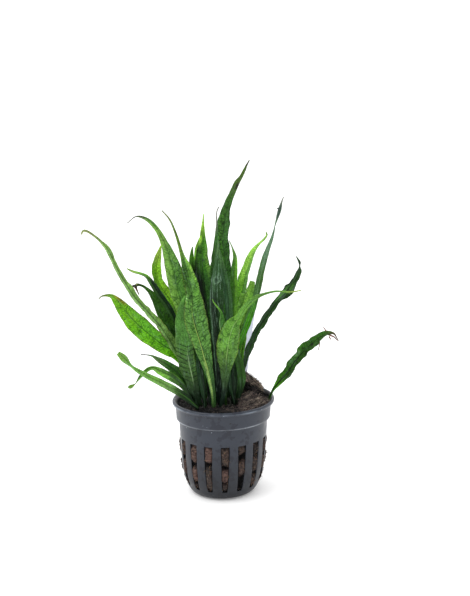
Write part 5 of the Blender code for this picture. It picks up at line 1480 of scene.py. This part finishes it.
grow_leaf(
    "small_right_leaf", (20, 20), 10, ("#1a361c", "#20401e", "#0c1c10", "#1c341c"), rib="#0e1a12",
    rib_strength=0.4, vein=0.5, wave=0.2,
    rows=((4.6, -8.8, 49.0, 1.4), (5.8, -8.0, 58.5, 3.4), (5.3, -8.6, 67.1, 4.4), (4.6, -9.2, 78.2, 4.0),
          (4.6, -9.8, 90.0, 0.6)))
grow_leaf(
    "dark_long_right_leaf", (25, 40), 14, ("#143210", "#1a3c0e", "#143012", "#30482c"), rib="#0a180a",
    rib_strength=0.6, vein=0.7, wave=0.7, scallop=0.32,
    marks=((0.74, -0.4, 12, 2.4, "#4c8038", 0.8), (0.8, 0.3, 5, 1.6, "#44742c", 0.7),
           (0.84, -0.1, 9, 0.7, "#3c6a2c", 0.7)),
    rows=((8.2, -5.8, 50.4, 1.2), (9.8, -5.0, 62.0, 1.3), (11.2, -6.0, 68.8, 2.4),
          (12.2, -6.2, 72.1, 3.3), (14.0, -6.5, 77.6, 3.9), (18.9, -7.0, 88.3, 3.9),
          (22.4, -7.0, 93.6, 3.8), (26.1, -7.0, 98.8, 3.5), (30.0, -7.0, 104.0, 3.6),
          (32.8, -7.0, 106.8, 4.5), (35.4, -7.0, 109.9, 4.9), (37.7, -7.0, 112.8, 4.1),
          (39.6, -7.0, 116.1, 3.3), (40.9, -7.0, 119.2, 2.6), (41.3, -7.0, 121.6, 0.6),
          (41.2, -7.0, 123.4, 1.5), (39.6, -7.0, 126.7, 0.4)))
grow_leaf(
    "far_right_leaf", (-20, -25), 14, ("#305e1a", "#284c14", "#4c9018", "#4a3020"), rib="#0e200c",
    rib_strength=0.9, vein=0.9, bars=0.4, bar_step=3.0, wave=0.8, scallop=0.28, net_fineness=1.3,
    edge="#4c7030",
    marks=((0.55, -0.5, 4, 2, "#5c8050", 0.6), (0.7, 0.2, 1.6, 1.4, "#101408", 0.9),
           (0.62, 0.6, 1.6, 1.2, "#101408", 0.9)),
    rows=((22.9, -2.8, 46.0, 0.9), (25.2, -3.8, 51.4, 1.1), (26.8, -4.5, 55.2, 1.7),
          (29.0, -4.8, 58.2, 2.9), (31.7, -5.3, 61.6, 4.8), (34.8, -6.0, 65.6, 5.2),
          (38.3, -7.0, 70.9, 5.6), (42.2, -8.0, 75.9, 5.6), (46.4, -9.0, 80.3, 5.4),
          (50.6, -10.0, 84.0, 4.4), (54.8, -11.0, 86.5, 2.7), (58.1, -12.0, 86.5, 1.4),
          (59.6, -12.2, 84.4, 0.6), (60.8, -12.4, 82.4, 0.3)))

# Back leaves.
# Fronds behind the ones that face the viewer. They lean away and fill out the back of the tuft.

grow_leaf(
    "back_left_leaf", (-20, -30), 12, ("#3a6a28", "#345f24", "#1c381a", "#487430"), rib="#1c3a18",
    rows=((-10.8, 4.8, 49.0, 1.6), (-13.9, 13.0, 83.8, 6.0), (-17.7, 19.0, 105.1, 6.5),
          (-21.2, 22.0, 115.8, 3.4), (-22.7, 23.0, 120.2, 0.6)))
grow_leaf(
    "back_centre_left_leaf", (15, 25), 12, ("#2e5822", "#356026", "#1a321a", "#487430"), rib="#1c3a18",
    rows=((-5.2, 6.4, 49.0, 1.6), (-6.4, 16.0, 77.4, 6.0), (-5.6, 24.0, 101.3, 7.0),
          (-4.1, 28.0, 114.8, 3.6), (-2.7, 30.0, 122.8, 0.6)))
grow_leaf(
    "back_centre_leaf", (-10, -20), 12, ("#335f24", "#2e5820", "#1a321a", "#487430"), rib="#1c3a18",
    rows=((-1.6, 6.4, 49.0, 1.6), (0.4, 14.0, 78.0, 5.4), (1.8, 22.0, 104.1, 6.6),
          (3.0, 27.0, 119.2, 3.6), (3.4, 28.6, 128.0, 0.6)))
grow_leaf(
    "back_right_leaf", (-15, -30), 12, ("#335f22", "#2c541e", "#1a321a", "#487430"), rib="#1c3a18",
    wave=0.25,
    rows=((4.2, 7.2, 48.6, 1.5), (7.6, 11.6, 72.0, 3.6), (10.6, 13.4, 87.0, 4.2), (14.6, 13.6, 98.5, 0.8)))
grow_leaf(
    "back_low_leaf", (10, 20), 12, ("#3f7028", "#386a24", "#1c381a", "#508030"), rib="#1c3a18",
    rows=((-8.6, 6.4, 48.6, 1.5), (-9.4, 17.0, 64.0, 5.0), (-9.6, 26.0, 76.0, 5.0),
          (-9.0, 32.0, 84.0, 0.8)))

# Tip growths.
# What grows out of three leaf tips: a plantlet's black bud with its first yellow leaf and rootlets on the
# left, a small side point on the tall right leaf, and red-brown rootlets on the far right one. Each is live
# tissue of its leaf, grown together with it.

GROWTH_SIDES = 8
GROWTH_KNOBS = 0.04
ROOT_PATCH_MM = 1.1
BUD_PATCH_MM = 0.83
LEAF_PATCH_MM = 1.25


def growth_skin(name, patch_mm, dark, light, roughness):
    """A growth's skin: patches of two tones, and how dull it is."""
    skin, tree = new_material(name)
    place = add_node(tree, "TexCoord").outputs["Object"]
    patches = add_node(tree, "TexNoise", {"Vector": place, "Scale": 1000.0 / patch_mm, "Detail": 3.0})
    tone = add_node(tree, "ValToRGB", {"Fac": patches})
    set_ramp(tone, ((0.35, dark), (0.68, light)))
    finish_material(tree, {"Base Color": tone, "Roughness": roughness})
    return skin


# Thin and dull, unevenly brown.
root_skin = growth_skin("young_root_skin", ROOT_PATCH_MM, "#4a2018", "#84462e", 0.6)
# The scales round the bud are nearly black.
bud_skin = growth_skin("black_bud_skin", BUD_PATCH_MM, "#0e0e0a", "#2c2a1c", 0.55)
# Yellow-green and soft.
young_skin = growth_skin("young_leaf_skin", LEAF_PATCH_MM, "#6a7a30", "#a8b060", 0.5)
# A leaf edge that has dried: dark grey-green.
withered_skin = growth_skin("withered_leaf_skin", LEAF_PATCH_MM, "#1c2c22", "#3c5444", 0.6)

# Each growth: name, material, and its rows of x, y, z and thickness from the top of the base plate
TIP_GROWTHS = (
    ("far_right_long_root", root_skin,
     ((54.8, -11.2, 86.1, 0.9), (56.3, -11.6, 85.5, 0.9), (58.3, -12.0, 84.6, 0.75),
      (59.6, -12.0, 83.3, 0.6), (60.4, -12.0, 82.4, 0.5))),
    ("far_right_short_root", root_skin, ((55.8, -11.4, 84.9, 0.8), (56.7, -11.6, 83.1, 0.5))),
    ("far_right_upper_root", root_skin, ((54.5, -11.0, 87.3, 0.7), (52.9, -11.0, 90.0, 0.4))),
    ("far_right_hair_root", root_skin, ((51.1, -10.3, 81.8, 0.6), (50.4, -10.0, 76.9, 0.4))),
    ("plantlet_bud", bud_skin,
     ((-43.2, -3.3, 112.7, 0.9), (-44.6, -3.4, 113.0, 1.5), (-45.9, -3.6, 112.7, 0.9))),
    ("plantlet_first_leaf", young_skin, ((-43.5, -3.5, 113.3, 0.6), (-42.9, -3.6, 114.4, 0.5))),
    ("plantlet_root_1", root_skin,
     ((-43.9, -3.5, 112.4, 0.4), (-43.0, -3.8, 111.0, 0.35), (-42.6, -4.0, 108.3, 0.25))),
    ("plantlet_root_2", root_skin, ((-44.7, -3.5, 112.5, 0.4), (-43.7, -3.9, 111.2, 0.25))),
    ("tall_right_side_point", withered_skin,
     ((32.6, 4.2, 149.3, 0.9), (31.5, 4.2, 150.2, 0.7), (30.6, 4.2, 150.9, 0.35))),
)
for growth_name, skin, growth_rows in TIP_GROWTHS:
    growth = stem_mesh(growth_name, growth_rows, GROWTH_SIDES, GROWTH_KNOBS, skin)
    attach(growth, "root")
